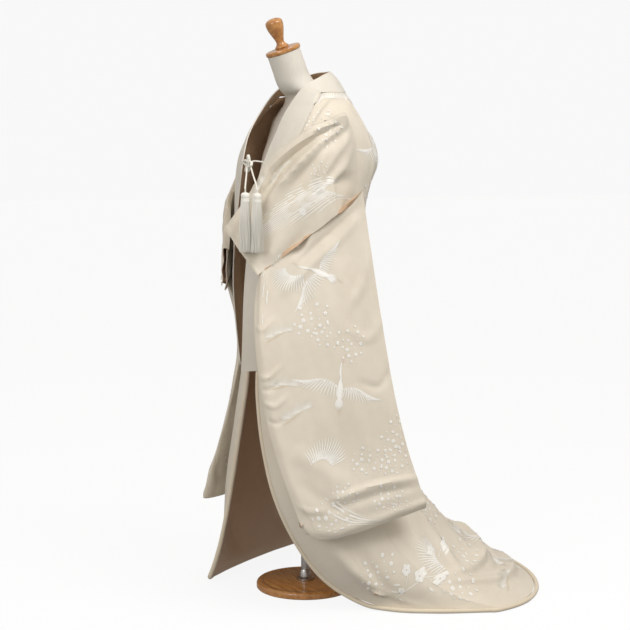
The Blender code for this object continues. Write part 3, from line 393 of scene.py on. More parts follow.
class RobePanel(Panel):
    """The robe's surface on one side: a runs 0 front edge, 1 side, 2 centre back; b is the ring."""

    def __init__(self, side: Side, creases: Sequence[Crease] = ()) -> None:
        """Set the side and its creases."""
        self.side = side
        self.creases = creases
        self.limits = (0.0, 2.0, 0.0, float(LAST_RING))
        self.outward = float(side.value)

    def bare(self, q: Array, ring: Array) -> Array:
        """The robe without folds.

        The front quarter is a quarter ellipse from F to S, partly straightened, and the back
        quarter one from S to B whose cosines and sines are raised to the power round.

        Args:
            q: Place round the ring.
            ring: Ring number.

        Returns:
            Points in metres.
        """
        q, ring = np.broadcast_arrays(np.asarray(q, float), np.asarray(ring, float))
        row = smooth_rows(RINGS, ring)
        fx, fy, fz = (row[..., k] for k in ((0, 1, 2) if self.side is Side.LEFT else (9, 10, 11)))
        sx, sy, sz, by, bz, squareness = (row[..., k] for k in range(3, 9))
        turn = np.clip(q, 0, 1) * math.pi / 2
        back = np.clip(q - 1, 0, 1) * math.pi / 2
        flat, share = row[..., 12], np.clip(q, 0, 1)
        front_x = fx + (sx - fx) * (np.sin(turn) * (1 - flat) + share * flat)
        front_y = fy + (sy - fy) * ((1 - np.cos(turn)) * (1 - flat) + share * flat)
        front_z = fz + (sz - fz) * np.sin(turn)**2
        back_x = sx * np.maximum(np.cos(back), 0)**squareness
        back_y = sy + (by - sy) * np.sin(back)**squareness
        back_z = sz + (bz - sz) * np.sin(back)**2
        in_front = q <= 1
        return np.stack([self.side.value * np.where(in_front, front_x, back_x),
                         np.where(in_front, front_y, back_y), np.where(in_front, front_z, back_z)], -1) * CM

    def plain(self, a: Array, b: Array) -> Array:
        """The robe with its long folds, each a bell across the ring that grows towards the hem.

        Args:
            a: Place across each ring.
            b: Ring, from the shoulder down.

        Returns:
            Points in metres.
        """
        q, ring = np.broadcast_arrays(np.asarray(a, float), np.asarray(b, float))
        lift = np.zeros(q.shape)
        for fold_side, top, hem, start, end, height, half_width in FOLDS:
            if fold_side != self.side.value:
                continue
            share = np.clip((ring - start) / (end - start), 0, 1)
            grown = np.sin(share * math.pi * (0.5 if end == LAST_RING else 1.0))**2 * (ring <= end)
            near_hem = np.clip((LAST_RING - ring) / FOLD_FADE, 0, 1)**2
            middle = top + (hem - top) * share
            lift += height * CM * grown * near_hem * np.exp(-((q - middle) / half_width)**2)
        points, step = self.bare(q, ring), 0.02
        along_q = self.bare(np.clip(q + step, 0, 2), ring) - self.bare(np.clip(q - step, 0, 2), ring)
        along_r = (self.bare(q, np.clip(ring + step, 0, LAST_RING))
                   - self.bare(q, np.clip(ring - step, 0, LAST_RING)))
        return points + unit(np.cross(along_r, along_q)) * (self.outward * lift)[..., None]

    def runs(self, rings: Array) -> tuple[Array, Array, Array]:
        """Distances round some rings.

        Args:
            rings: Ring numbers.

        Returns:
            Places, their distances from the front edge by ring, and those of the side.
        """
        q = np.linspace(0, 2, 241)
        run = run_along(self.plain(q[:, None], rings[None, :]))
        return q, run, run[120]

    def fade(self, a: Array, b: Array) -> Array:
        """Creases die out at the collar, the armhole and the padded edge.

        Args:
            a: Place across each ring.
            b: Ring, from the shoulder down.

        Returns:
            Shares from 0 to 1.
        """
        near_neck = np.clip(b / 0.8, 0, 1)
        near_hem = np.clip((LAST_RING - b) / 0.5, 0, 1)
        near_front = np.clip(a / 0.12, 0, 1)
        by_armhole = (b > ARMHOLE_TOP - 0.6) & (b < ARMHOLE_FOOT + 0.6)
        beside = np.where(by_armhole, np.clip(np.abs(a - 1) / 0.35, 0, 1), 1.0)
        return near_neck * near_hem * near_front * beside


def okumi_width(ring: float) -> float:
    """Width of the okumi at a ring: a point at its top, whole at the collar's end."""
    if ring < OKUMI_TOP:
        return 0.0
    share = min((ring - OKUMI_TOP) / (COLLAR_END - OKUMI_TOP), 1.0)
    return OKUMI_TIP + (OKUMI_WIDTH - OKUMI_TIP) * share


def side_gap(ring: float) -> float:
    """Half the gap at the side: none over the shoulder, the armhole, then a seam."""
    if ring <= ARMHOLE_TOP:
        return 0.0
    hole = min((ring - ARMHOLE_TOP) / (ARMHOLE_FOOT - ARMHOLE_TOP), 1.0)
    return SEAM_GAP / 2 + ARMHOLE_HALF_WIDTH * math.sin(math.pi * hole)


def mitred(path: Array, facing_out: Array) -> Array:
    """Ways that point off a path, square to it and to facing_out, mitred at corners.

    Args:
        path: Stops in metres.
        facing_out: Way out of the cloth at each stop.

    Returns:
        One vector for each stop, longer at corners.
    """
    runs = unit(np.diff(path, axis=0))
    square = unit(np.cross(runs, unit(facing_out[:-1] + facing_out[1:])))
    before = np.concatenate([square[:1], square])
    after = np.concatenate([square, square[-1:]])
    return (before + after) / np.maximum(1 + (before * after).sum(-1, keepdims=True), 0.6)


def grid_quads(index: Array, flip: bool = False) -> Array:
    """Four corners of each cell of a grid of point numbers."""
    cells = np.stack([index[:-1, :-1], index[1:, :-1], index[1:, 1:], index[:-1, 1:]], -1).reshape(-1, 4)
    return cells[:, ::-1] if flip else cells


def mesh_facing(points: Array, quads: Array) -> Array:
    """Average direction of the faces round each point.

    Args:
        points: Points in metres.
        quads: Faces with four corners.

    Returns:
        One unit vector for each point.
    """
    square = np.cross(points[quads[:, 2]] - points[quads[:, 0]], points[quads[:, 3]] - points[quads[:, 1]])
    out = np.zeros(points.shape)
    for corner in range(4):
        np.add.at(out, quads[:, corner], square)
    return unit(out)


def build_object(name: str, points: Array, faces: Sequence[Array], finishes: Sequence[bpy.types.Material],
                 uv: Array | None = None, slots: Array | None = None,
                 sharp: float = 45.0) -> bpy.types.Object:
    """Put points and faces into a new object at the origin, with smooth shading.

    Args:
        name: The object's name.
        points: Points in metres.
        faces: Arrays of faces, each with one number of corners.
        finishes: The materials, by slot.
        uv: Place of each point on the flat cloth, in metres.
        slots: Material slot of each face.
        sharp: Edges that turn by more degrees than this stay sharp.

    Returns:
        The object.
    """
    mesh = bpy.data.meshes.new(name)
    rows = [row for block in faces for row in block.tolist()]
    mesh.from_pydata(points.tolist(), [], rows)
    for finish in finishes:
        mesh.materials.append(finish)
    if slots is not None:
        mesh.polygons.foreach_set("material_index", np.asarray(slots, np.int32))
    if uv is not None:
        corners = np.empty(len(mesh.loops), np.int32)
        mesh.loops.foreach_get("vertex_index", corners)
        mesh.uv_layers.new(name="cloth").data.foreach_set("uv", uv[corners].astype(np.float32).ravel())
    mesh.shade_smooth()
    mesh.set_sharp_from_angle(angle=math.radians(sharp))
    thing = bpy.data.objects.new(name, mesh)
    bpy.context.scene.collection.objects.link(thing)
    return thing


def shell(name: str, middle: Array, out: Array, quads: Array, thickness: float, uv: Array,
          finishes: Sequence[bpy.types.Material]) -> bpy.types.Object:
    """Cloth of even thickness round a sheet, with its rims closed.

    Args:
        name: The object's name.
        middle: Points in the middle of the cloth.
        out: Ways out at those points.
        quads: Faces of the outer side.
        thickness: Metres from the face to the lining.
        uv: Place of each point on the flat cloth.
        finishes: The face material, then the one inside.

    Returns:
        The object.
    """
    count = len(middle)
    points = np.concatenate([middle + out * thickness / 2, middle - out * thickness / 2])
    edges = np.stack([quads, np.roll(quads, -1, axis=1)], -1).reshape(-1, 2)
    there, back = edges[:, 0] * count + edges[:, 1], edges[:, 1] * count + edges[:, 0]
    rim = edges[~np.isin(there, back)]
    rims = np.stack([rim[:, 1], rim[:, 0], rim[:, 0] + count, rim[:, 1] + count], -1)
    slots = np.repeat([0, 1, 0], [len(quads), len(quads), len(rims)])
    return build_object(name, points, [quads, quads[:, ::-1] + count, rims], finishes,
                        np.concatenate([uv, uv]), slots)


def settle(piece: bpy.types.Object, slot: str, *nodes: str) -> bpy.types.Object:
    """Tie a finished piece to the frame, hide the solids it stands for and log its point count.

    Args:
        piece: The piece.
        slot: Not used.
        nodes: Names of the solids it stands for.

    Returns:
        The same piece.
    """
    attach(piece, "root")
    if nodes:
        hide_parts(*nodes)
    LOG.info("%s: %d points", piece.name, len(piece.data.vertices))
    return piece


def path_frames(path: Array) -> tuple[Array, Array, Array]:
    """Along, first and second directions at each stop of a path, turned as little as possible.

    Args:
        path: Stops in metres.

    Returns:
        Three arrays of unit vectors, one row for each stop.
    """
    along = unit(np.gradient(path, axis=0))
    level = np.array([1.0, 0.0, 0.0]) if abs(along[0, 2]) > 0.85 else np.array([0.0, 0.0, 1.0])
    first = np.empty(path.shape)
    first[0] = unit(np.cross(level, along[0]))
    for stop in range(1, len(path)):
        first[stop] = unit(first[stop - 1] - along[stop] * (first[stop - 1] @ along[stop]))
    return along, first, np.cross(along, first)


def tube_parts(path: Array, radius: Array | float, sides: int = 8) -> tuple[Array, Array, Array]:
    """A round tube along a path with both ends closed to a point.

    Args:
        path: Stops in metres.
        radius: Metres, one value or one for each stop.
        sides: Number of sides.

    Returns:
        Points, side quads and end triangles.
    """
    _, first, second = path_frames(path)
    angle = np.linspace(0, 2 * math.pi, sides, endpoint=False)
    reach = np.broadcast_to(np.asarray(radius, float), (len(path),))[:, None, None]
    ring = (np.cos(angle)[None, :, None] * first[:, None, :]
            + np.sin(angle)[None, :, None] * second[:, None, :])
    points = np.concatenate([(path[:, None, :] + ring * reach).reshape(-1, 3), path[:1], path[-1:]])
    index = np.arange(len(path) * sides).reshape(len(path), sides)
    index = np.concatenate([index, index[:, :1]], axis=1)
    quads = grid_quads(index, True)
    foot, head = len(points) - 2, len(points) - 1
    start = np.stack([np.full(sides, foot), index[0, 1:], index[0, :-1]], -1)
    end = np.stack([np.full(sides, head), index[-1, :-1], index[-1, 1:]], -1)
    return points, quads, np.concatenate([start, end])


def join_parts(parts: Sequence[tuple[Array, Array, Array]]) -> tuple[Array, Array, Array]:
    """Several sets of points, quads and triangles as one."""
    starts = np.cumsum([0] + [len(points) for points, _, _ in parts])
    return (np.concatenate([points for points, _, _ in parts]),
            np.concatenate([quads + start for (_, quads, _), start in zip(parts, starts)]),
            np.concatenate([tris + start for (_, _, tris), start in zip(parts, starts)]))


# The robe's panels

@dataclass(frozen=True)
class ClothGrid:
    """How finely cloth is laid out, in metres."""

    row: float = 0.0080
    front_columns: int = 34
    back_columns: int = 60
    okumi_columns: int = 14
    lining_columns: tuple[int, int] = (40, 50)
    fine_rings: int = 800


class Robe:
    """One side of the robe: body, okumi and lower lining cut from one creased surface."""

    grid = ClothGrid()

    def __init__(self, side: Side, creases: Sequence[Crease]) -> None:
        """Set the side and lay its creases."""
        self.side = side
        self.panel = RobePanel(side, creases)
        self.rings = self.even_rings()
        self.q, self.run, self.side_run = self.panel.runs(self.rings)

    def even_rings(self) -> Array:
        """Rings an even distance apart down the side, through the named places.

        Returns:
            Ring numbers from the top down.
        """
        fine = np.linspace(0, LAST_RING, self.grid.fine_rings)
        run = run_along(self.panel.plain(np.full(len(fine), 1.4), fine))
        rings = np.interp(np.linspace(0, run[-1], int(run[-1] / self.grid.row)), run, fine)
        for place in (ARMHOLE_TOP, ARMHOLE_FOOT, OKUMI_TOP, COLLAR_END, LINING_TOP):
            rings[np.argmin(np.abs(rings - place))] = place
        return rings

    def lay(self, keep: Array, start: Array, end: Array, count: int) -> tuple[Array, Array, Array]:
        """Places on the rings between two distances, closer together at both edges.

        Args:
            keep: Which rings.
            start: Distance of the first column from the front edge, by ring.
            end: Distance of the last column.
            count: Number of columns.

        Returns:
            Places round the ring, ring numbers and flat distances.
        """
        even = np.linspace(0, 1, count)
        shares = even - 0.10 * np.sin(2 * math.pi * even) * (1 - 2 * np.abs(even - 0.5))
        far = start[:, None] + (end - start)[:, None] * shares
        q = np.stack([np.interp(row, run, self.q) for row, run in zip(far, self.run[:, keep].T)])
        return q, np.repeat(self.rings[keep][:, None], count, 1), far

    def edges(self) -> tuple[Array, Array, Array]:
        """Widths of the okumi, half gaps at the side and whole runs, ring by ring."""
        widths = np.array([okumi_width(ring) for ring in self.rings])
        return widths, np.array([side_gap(ring) for ring in self.rings]), self.run[-1]

    def flat_places(self, rings: Array, far: Array) -> Array:
        """Flat places of the weave: distance round the ring, and run down the side."""
        fine = np.linspace(0, LAST_RING, 400)
        down = run_along(self.panel.plain(np.full(400, 1.4), fine))
        return np.stack([far * self.side.value, -np.interp(rings, fine, down)], -1).reshape(-1, 2)

    def body(self, finishes: Sequence[bpy.types.Material]) -> bpy.types.Object:
        """Front and back in one length over the shoulder, parted below at the side seam.

        Args:
            finishes: Brocade, then the lining inside.

        Returns:
            The body panel.
        """
        widths, gaps, whole = self.edges()
        keep = np.arange(len(self.rings))
        seam = np.where(self.rings >= OKUMI_TOP, SEAM_GAP / 2, 0.0)
        front = self.lay(keep, widths + seam, self.side_run - gaps, self.grid.front_columns)
        back = self.lay(keep, self.side_run + gaps, whole - SEAM_GAP / 2, self.grid.back_columns)
        front_index = np.arange(front[0].size).reshape(front[0].shape)
        back_index = np.arange(back[0].size).reshape(back[0].shape) + front[0].size
        over = self.rings <= ARMHOLE_TOP + 1e-6
        back_index[over, 0] = front_index[over, -1]
        flip = self.side is Side.RIGHT
        quads = np.concatenate([grid_quads(front_index, flip), grid_quads(back_index, flip)])
        a, b, far = (np.concatenate([f.ravel(), k.ravel()]) for f, k in zip(front, back))
        points, out = self.panel.surface(a, b)
        used, quads = np.unique(quads, return_inverse=True)
        piece = shell(f"body_{self.side.word}_cloth", points[used], out[used], quads.reshape(-1, 4),
                      FACE_WALL, self.flat_places(b, far)[used], finishes)
        return settle(piece, "brocade", f"body_{self.side.word}")

    def strip(self, name: str, keep: Array, spans: Sequence[tuple[Array, Array, int]], lift: float,
              thickness: float, finishes: Sequence[bpy.types.Material]) -> bpy.types.Object:
        """A panel that covers one or more spans of each ring.

        Args:
            name: The object's name.
            keep: Which rings.
            spans: Start and end distances and the number of columns.
            lift: Metres off the robe's surface.
            thickness: Metres.
            finishes: Materials of the two faces.

        Returns:
            The panel.
        """
        laid = [self.lay(keep, start, end, count) for start, end, count in spans]
        a, b, far = (np.concatenate([one[k][:, (0 if n == 0 else 1):] for n, one in enumerate(laid)], axis=1)
                     for k in range(3))
        points, out = self.panel.surface(a, b, lift)
        quads = grid_quads(np.arange(a.size).reshape(a.shape), self.side is Side.RIGHT)
        return shell(name, points.reshape(-1, 3), out.reshape(-1, 3), quads, thickness,
                     self.flat_places(b, far), finishes)

    def okumi(self, finishes: Sequence[bpy.types.Material]) -> bpy.types.Object:
        """The overlap strip between the front body and the front edge.

        Args:
            finishes: Brocade, then the inner silk.

        Returns:
            The strip.
        """
        keep = np.flatnonzero(self.rings >= OKUMI_TOP)
        widths = self.edges()[0][keep]
        span = (widths * 0, widths - SEAM_GAP / 2, self.grid.okumi_columns)
        piece = self.strip(f"okumi_{self.side.word}_cloth", keep, [span], 0.0, FACE_WALL, finishes)
        return settle(piece, "brocade", f"okumi_{self.side.word}")

    def lining(self, finishes: Sequence[bpy.types.Material]) -> bpy.types.Object:
        """The lower lining, from the front edge to the centre back.

        Args:
            finishes: Silk of its two sides.

        Returns:
            The lining.
        """
        keep = np.flatnonzero(self.rings >= LINING_TOP)
        whole, side_run = self.run[-1][keep] - SEAM_GAP / 2, self.side_run[keep]
        front, back = self.grid.lining_columns
        spans = [(whole * 0, side_run, front), (side_run, whole, back)]
        piece = self.strip(f"lining_{self.side.word}_cloth", keep, spans, -LINING_INSET, LINING_WALL,
                           finishes)
        return settle(piece, "lining", f"lining_{self.side.word}")


@dataclass(frozen=True)
class HemRoll:
    """The padded roll along a front edge and the hem."""

    reach_at_corner: float = 1.25
    wall: float = 0.0026
    finer: int = 7
    sides: int = 14

    def path(self, robe: Robe) -> Array:
        """Stops of the roll: off the front edge on the way down, then level round the hem.

        Args:
            robe: The side it is sewn to.

        Returns:
            Points in metres.
        """
        panel, sign, foot = robe.panel, robe.side.value, float(LAST_RING)
        down = np.linspace(COLLAR_END, foot, 13)[:-1] + 0.02
        q_all, run, side_run = panel.runs(np.array([foot]))
        whole = run[-1, 0]
        stops = np.concatenate([np.linspace(0, OKUMI_WIDTH, 3)[1:],
                                np.linspace(OKUMI_WIDTH, side_run[0], 7)[1:],
                                np.linspace(side_run[0], whole - SEAM_GAP / 2, 11)[1:]])
        q = np.concatenate([np.zeros(len(down)), np.interp(stops, run[:, 0], q_all)])
        ring = np.concatenate([down, np.full(len(stops), foot)])
        edge, out = panel.plain(q, ring), panel.facing(q, ring)
        away = mitred(edge, out) * sign
        at_hem = ring > foot - 1e-6
        level = mitred(edge * (1.0, 1.0, 0.0), np.tile([0.0, 0.0, 1.0], (len(edge), 1))) * sign
        reach = FUKI_RADIUS + FUKI_GAP + self.wall / 2 * np.linalg.norm(out[:, :2], axis=1) * at_hem
        corner = int(np.argmax(at_hem))
        front = edge[:corner] + away[:corner] * reach[:corner, None]
        front[-1] = edge[corner - 1] + away[corner - 1] * reach[corner - 1] * self.reach_at_corner
        turning = unit(away[corner - 1] + level[corner]) * reach[corner - 1] * self.reach_at_corner
        between = (edge[corner - 1] + edge[corner]) / 2 + turning
        path = np.concatenate([front, between[None], edge[corner:] + level[corner:] * reach[corner:, None]])
        path[:, 2] = np.maximum(path[:, 2], FUKI_RADIUS)
        path[corner + 1:, 2] = FUKI_RADIUS
        path[-1] = (sign * SEAM_GAP, path[-1, 1], path[-1, 2])
        path[-2, 1] = path[-1, 1]
        return smooth_rows(path, np.linspace(0, len(path) - 1, (len(path) - 1) * self.finer + 1))

    def build(self, robe: Robe, finish: bpy.types.Material) -> bpy.types.Object:
        """The roll, gathered a little so that its thickness isn't even.

        Args:
            robe: The half that it edges.
            finish: Its silk.

        Returns:
            The roll.
        """
        path = self.path(robe)
        run = run_along(path)
        radius = FUKI_RADIUS * (0.97 + 0.05 * np.sin(run / 0.031) * np.sin(run / 0.083 + 1))
        radius[[0, -1]] *= 0.9
        path[:, 2] = np.maximum(path[:, 2], radius)
        points, quads, tris = tube_parts(path, radius, self.sides)
        piece = build_object(f"hem_roll_{robe.side.word}", points, [quads, tris], [finish])
        settle(piece, "padded_roll", f"fuki_{robe.side.word}")
        return piece


@dataclass(frozen=True)
class Collar:
    """The folded collar, from its seam to its free edge, all round the neck."""

    gap: float = 0.0006
    corner_gap: float = 0.0030
    corner_reach: float = 0.045
    puff: float = 0.004
    wall: float = 0.0034
    columns: int = 14

    def half(self, robe: Robe, neck: int, down: int) -> tuple[Array, Array, Array]:
        """One half of the collar's two edges.

        Args:
            robe: The side it is sewn to.
            neck: Stops round the neck.
            down: Stops down the front.

        Returns:
            Points by the seam, points on the free edge and the robe's ways out.
        """
        panel, sign = robe.panel, robe.side.value
        q_all, run, _ = panel.runs(np.array([0.0]))
        neck_q = np.interp(np.linspace(run[-1, 0] - SEAM_GAP / 2, 0, neck), run[:, 0], q_all)
        rings = np.linspace(0, COLLAR_END, down)[1:]
        q = np.concatenate([neck_q, np.zeros(len(rings))])
        ring = np.concatenate([np.zeros(neck), rings])
        seam, out = panel.plain(q, ring), panel.facing(q, ring)
        away = mitred(seam, out) * sign
        far = run_along(seam)
        rows = np.interp(far / CM, COLLAR_FREE[:, 0], np.arange(len(COLLAR_FREE)))
        free_rows = smooth_rows(COLLAR_FREE, rows)
        free = free_rows[:, 1:4] * CM
        free[:, 0] *= sign
        if sign < 0:
            free[:, 1] -= free_rows[:, 4] * CM
        gap = self.gap + self.corner_gap * np.exp(-((far - far[neck - 1]) / self.corner_reach)**2)
        start = seam + away * gap[:, None]
        start[0, 0] = 0.0
        out[0, 0] = 0.0
        return start, free, unit(out)

    def middle(self, left: Robe, right: Robe, shares: Array, neck: int, down: int) -> tuple[Array, Array]:
        """Points in the middle of the collar and the ways it faces.

        Args:
            left: Left half of the robe.
            right: Right half of the robe.
            shares: Places across the band, from 0 to 1.
            neck: Stops round the neck.
            down: Stops down each front.

        Returns:
            Points and unit vectors, along the band by its breadth.
        """
        right_seam, right_free, right_out = self.half(right, neck, down)
        left_seam, left_free, left_out = self.half(left, neck, down)
        seam = np.concatenate([right_seam[::-1][:-1], left_seam])
        free = np.concatenate([right_free[::-1][:-1], left_free])
        share = shares[None, :, None]
        middle = seam[:, None] * (1 - share) + free[:, None] * share
        out = unit(np.cross(np.gradient(middle, axis=0), np.gradient(middle, axis=1)))
        out = out * (1.0 if out[len(out) // 2, 0, 1] > 0 else -1.0)
        middle = middle + out * (self.puff * np.sin(share * math.pi))
        out[:, 0] = np.concatenate([right_out[::-1][:-1], left_out])
        return middle, out

    def build(self, left: Robe, right: Robe, finishes: Sequence[bpy.types.Material]) -> bpy.types.Object:
        """The band, with a few soft dents where it turns round the neck.

        Args:
            left: Left half of the robe.
            right: Right half of the robe.
            finishes: Brocade, then the inner silk.

        Returns:
            The collar.
        """
        middle, out = self.middle(left, right, np.linspace(0, 1, self.columns), 60, 110)
        share = np.linspace(0, 1, self.columns)[None, :]
        far = run_along(middle[:, 0])
        dents = 0.0011 * soft_noise(middle, 0.11, 4) * np.sin(share * math.pi)
        middle = middle + out * dents[..., None]
        across = np.linspace(0, 0.12, self.columns)[None, :] + np.zeros(middle.shape[:2])
        uv = np.stack([across, np.repeat(far[:, None], self.columns, 1)], -1).reshape(-1, 2)
        index = np.arange(middle[..., 0].size).reshape(middle.shape[:2])
        made = np.cross(middle[1, 0] - middle[0, 0], middle[0, 1] - middle[0, 0])
        quads = grid_quads(index, bool(made @ out[0, 0] < 0))
        piece = shell("collar_band", middle.reshape(-1, 3), out.reshape(-1, 3), quads, self.wall, uv,
                      finishes)
        return settle(piece, "collar_brocade", "collar")


# Sleeves

@dataclass(frozen=True)
class SleeveCut:
    """Shape of one sleeve beyond its table of rows."""

    side: Side
    table: Array
    corner_rise: float
    cuff_flatness: float = 0.4
    cuff_row: float = 4.6
    corner_start: float = 0.30
    sewn_to_row: float = 4.6
    first_merged_row: int = 13
    layers_apart: float = 0.013
    least_gap: float = 0.006

    @property
    def shares(self) -> Array:
        """Columns from the body, 0, to the cuff, 1."""
        return np.concatenate([[0, 0.07], np.linspace(0.17, 0.9, 9), [0.965, 1.0]])

    def layer(self, outer: bool) -> Array:
        """One layer of the bag, before it is sewn on.

        Each row is a straight line from body to cuff, bowed up in the middle and carried out
        at the side. The layer stands off it towards the row's heading, and the foot corner
        rises in a quarter circle.

        Args:
            outer: Whether it is the layer on the far side from the body.

        Returns:
            A grid of points, rows down the bag by columns to the cuff.
        """
        s, rows = self.shares, np.array(SLEEVE_ROW_STEPS)
        drop = smooth_rows(self.table, rows)
        line = drop[:, None, 3:6] + (drop[:, None, 0:3] - drop[:, None, 3:6]) * s[None, :, None]
        line[..., 2] += drop[:, None, 9] * np.sin(math.pi * s**1.25)[None, :]
        reach = np.clip((s - (1 - self.corner_start)) / self.corner_start, 0, 1)
        low = np.clip((rows - 8) / (len(self.table) - 9), 0, 1)
        rise = self.corner_rise * (1 - np.sqrt(np.maximum(1 - reach**2, 0)))
        line[..., 2] += low[:, None] * rise[None, :]
        turn = np.radians(drop[:, 8])
        heading = np.stack([np.cos(turn), np.sin(turn), np.full(turn.shape, 0.12)], -1)[:, None, :]
        line[..., 0] += drop[:, 10][:, None] * np.sin(math.pi * s)[None, :]
        stand = drop[:, 6 if outer else 7][:, None] * (1 - self.cuff_flatness * s)[None, :]
        closed = np.clip((rows - self.cuff_row) / 0.5, 0, 1)[:, None]
        stand = stand * (1 - closed * (1 - np.sqrt(np.clip((1 - s) / 0.05, 0, 1))[None, :]))
        fold = np.zeros(stand.shape)
        for row_cuff, row_body, height, half_width in SLEEVE_FOLDS:
            middle = row_body + (row_cuff - row_body) * s[None, :]
            fade = np.sin(math.pi * np.clip(s * 0.9 + 0.08, 0, 1))[None, :]**0.5
            fold += height * fade * np.exp(-((rows[:, None] - middle) / half_width)**2)
        stand = (stand if outer else -stand) + fold * np.clip(stand, 0, 1) * (1.0 if outer else 0.6)
        points = (line + heading * stand[..., None]) * CM
        points[..., 0] *= self.side.value
        return points

    def armhole(self, robe: Robe, behind: bool) -> Array:
        """Points round the armhole where a layer is sewn on.

        Args:
            robe: The half with the armhole.
            behind: Whether the layer is the one at the back.

        Returns:
            One point for each row of the sleeve.
        """
        rows = np.array(SLEEVE_ROW_STEPS)
        share = np.clip(rows / 4.0, 0, 1)
        ring = ARMHOLE_TOP + (ARMHOLE_FOOT - ARMHOLE_TOP) * share
        half = ARMHOLE_HALF_WIDTH * np.sin(math.pi * share * 0.92) + 0.003
        q_all, run, side_run = robe.panel.runs(ring)
        far = side_run + (half if behind else -half)
        q = np.array([np.interp(one, column, q_all) for one, column in zip(far, run.T)])
        return robe.panel.plain(q, ring) + robe.panel.facing(q, ring) * ARMHOLE_STAND_OFF

    def layers(self, robe: Robe, cloud: Array, cloud_out: Array) -> list[Array]:
        """Both layers, sewn to the armhole and eased clear of the robe.

        Args:
            robe: The side it is sewn to.
            cloud: Fine points of the robe and collar.
            cloud_out: The ways they face.

        Returns:
            The outer and the inner layer, which share their first and last rows.
        """
        s, rows, made = self.shares, np.array(SLEEVE_ROW_STEPS), []
        hold = np.clip((self.sewn_to_row - rows) / 0.6, 0, 1)[:, None]
        for outer in (True, False):
            points, edge = self.layer(outer), self.armhole(robe, outer)
            pull = hold * np.clip(1 - s / 0.30, 0, 1)[None, :]**1.6
            points = points + (edge - points[:, 0])[:, None, :] * pull[..., None]
            points = settled(points, cloud, cloud_out)
            points[:, 0] = np.where(hold > 0.99, edge, points[:, 0])
            made.append(points)
        made[1][[0, -1]] = made[0][[0, -1]]
        made[1][self.first_merged_row:, -1] = made[0][self.first_merged_row:, -1]
        return made


def clear_of(points: Array, cloud: Array, facing_out: Array, clearance: float | Array) -> Array:
    """Move points out until they stand clear of the nearest point of a cloud.

    Args:
        points: Rows of points.
        cloud: Rows of points on what has to be cleared.
        facing_out: Way out at each point of the cloud.
        clearance: Metres to keep, for all or one for each point.

    Returns:
        The moved points.
    """
    moved = points.copy()
    for _ in range(2):
        nearest = np.argmin((cloud**2).sum(-1) - 2 * moved @ cloud.T, axis=1)
        offset = moved - cloud[nearest]
        height = (offset * facing_out[nearest]).sum(-1)
        close = np.linalg.norm(offset, axis=1) < CLEARING_REACH
        moved += facing_out[nearest] * np.where(close, np.clip(clearance - height, 0, None), 0)[:, None]
    return moved


def settled(points: Array, cloud: Array, facing_out: Array, clearance: float = CLOTH_CLEARANCE) -> Array:
    """Clear a grid of points of a cloud, with the shifts evened out over neighbours.

    Args:
        points: Rows and columns of points.
        cloud: Rows of points on what has to be cleared.
        facing_out: Way out at each point of the cloud.
        clearance: Metres to keep.

    Returns:
        The moved grid.
    """
    moved, (rows, columns) = points, points.shape[:2]
    for _ in range(EVENING_ROUNDS):
        shift = clear_of(moved.reshape(-1, 3), cloud, facing_out, clearance).reshape(points.shape) - points
        around = np.pad(shift, ((1, 1), (1, 1), (0, 0)), mode="edge")
        moved = points + sum(around[i:i + rows, j:j + columns] for i in range(3) for j in range(3)) / 9
    return clear_of(moved.reshape(-1, 3), cloud, facing_out, clearance).reshape(points.shape)


def spline_weights(where: Array, count: int) -> tuple[list[Array], list[Array]]:
    """Four neighbours of fractional places in a row and their weights on the smooth curve.

    Args:
        where: Places, counted in stops.
        count: How many stops the row has.

    Returns:
        Indices of the four neighbours, then their four weights.
    """
    where = np.clip(where, 0, count - 1)
    low = np.clip(np.floor(where).astype(int), 0, count - 2)
    f = where - low
    here_slope, after_slope = (f**3 - 2 * f**2 + f) / 2, (f**3 - f**2) / 2
    stops = [np.maximum(low - 1, 0), low, low + 1, np.minimum(low + 2, count - 1)]
    return stops, [-here_slope, 2 * f**3 - 3 * f**2 + 1 - after_slope,
                   3 * f**2 - 2 * f**3 + here_slope, after_slope]


class SleeveLayer(Panel):
    """One layer of a sleeve: a counts columns from body to cuff, b counts rows down the bag."""

    step = 0.06
    waviness = 0.0024
    wave = 0.11

    def __init__(self, stops: Array, outward: float, creases: Sequence[Crease]) -> None:
        """Set the grid of stops, the way out and the creases."""
        self.stops = stops
        self.outward = outward
        self.creases = creases
        self.limits = (0.0, stops.shape[1] - 1.0, 0.0, stops.shape[0] - 1.0)

    def plain(self, a: Array, b: Array) -> Array:
        """Points on the smooth surface through the stops.

        Args:
            a: Place along a row of stops, counted in stops.
            b: Place down the rows, counted in rows.

        Returns:
            Points in metres.
        """
        rows, row_weights = spline_weights(b, self.stops.shape[0])
        columns, column_weights = spline_weights(a, self.stops.shape[1])
        total = np.zeros(np.broadcast(a, b).shape + (3,))
        for row, row_weight in zip(rows, row_weights):
            for column, column_weight in zip(columns, column_weights):
                total += (row_weight * column_weight)[..., None] * self.stops[row, column]
        return total

    def openness(self, a: Array, b: Array) -> Array:
        """From 0, where the two layers are sewn or folded together, to 1."""
        near_top = np.clip(b / 0.8, 0, 1)
        near_foot = np.clip((self.limits[3] - b) / 0.35, 0, 1)
        return near_top * near_foot * np.where(b > 12, np.clip((self.limits[1] - a) / 0.5, 0, 1), 1.0)

    def fade(self, a: Array, b: Array) -> Array:
        """Creases die out where the layers meet and at the armhole."""
        return self.openness(a, b) * np.where(b < 12, np.clip(a / 0.9, 0, 1), 1.0)


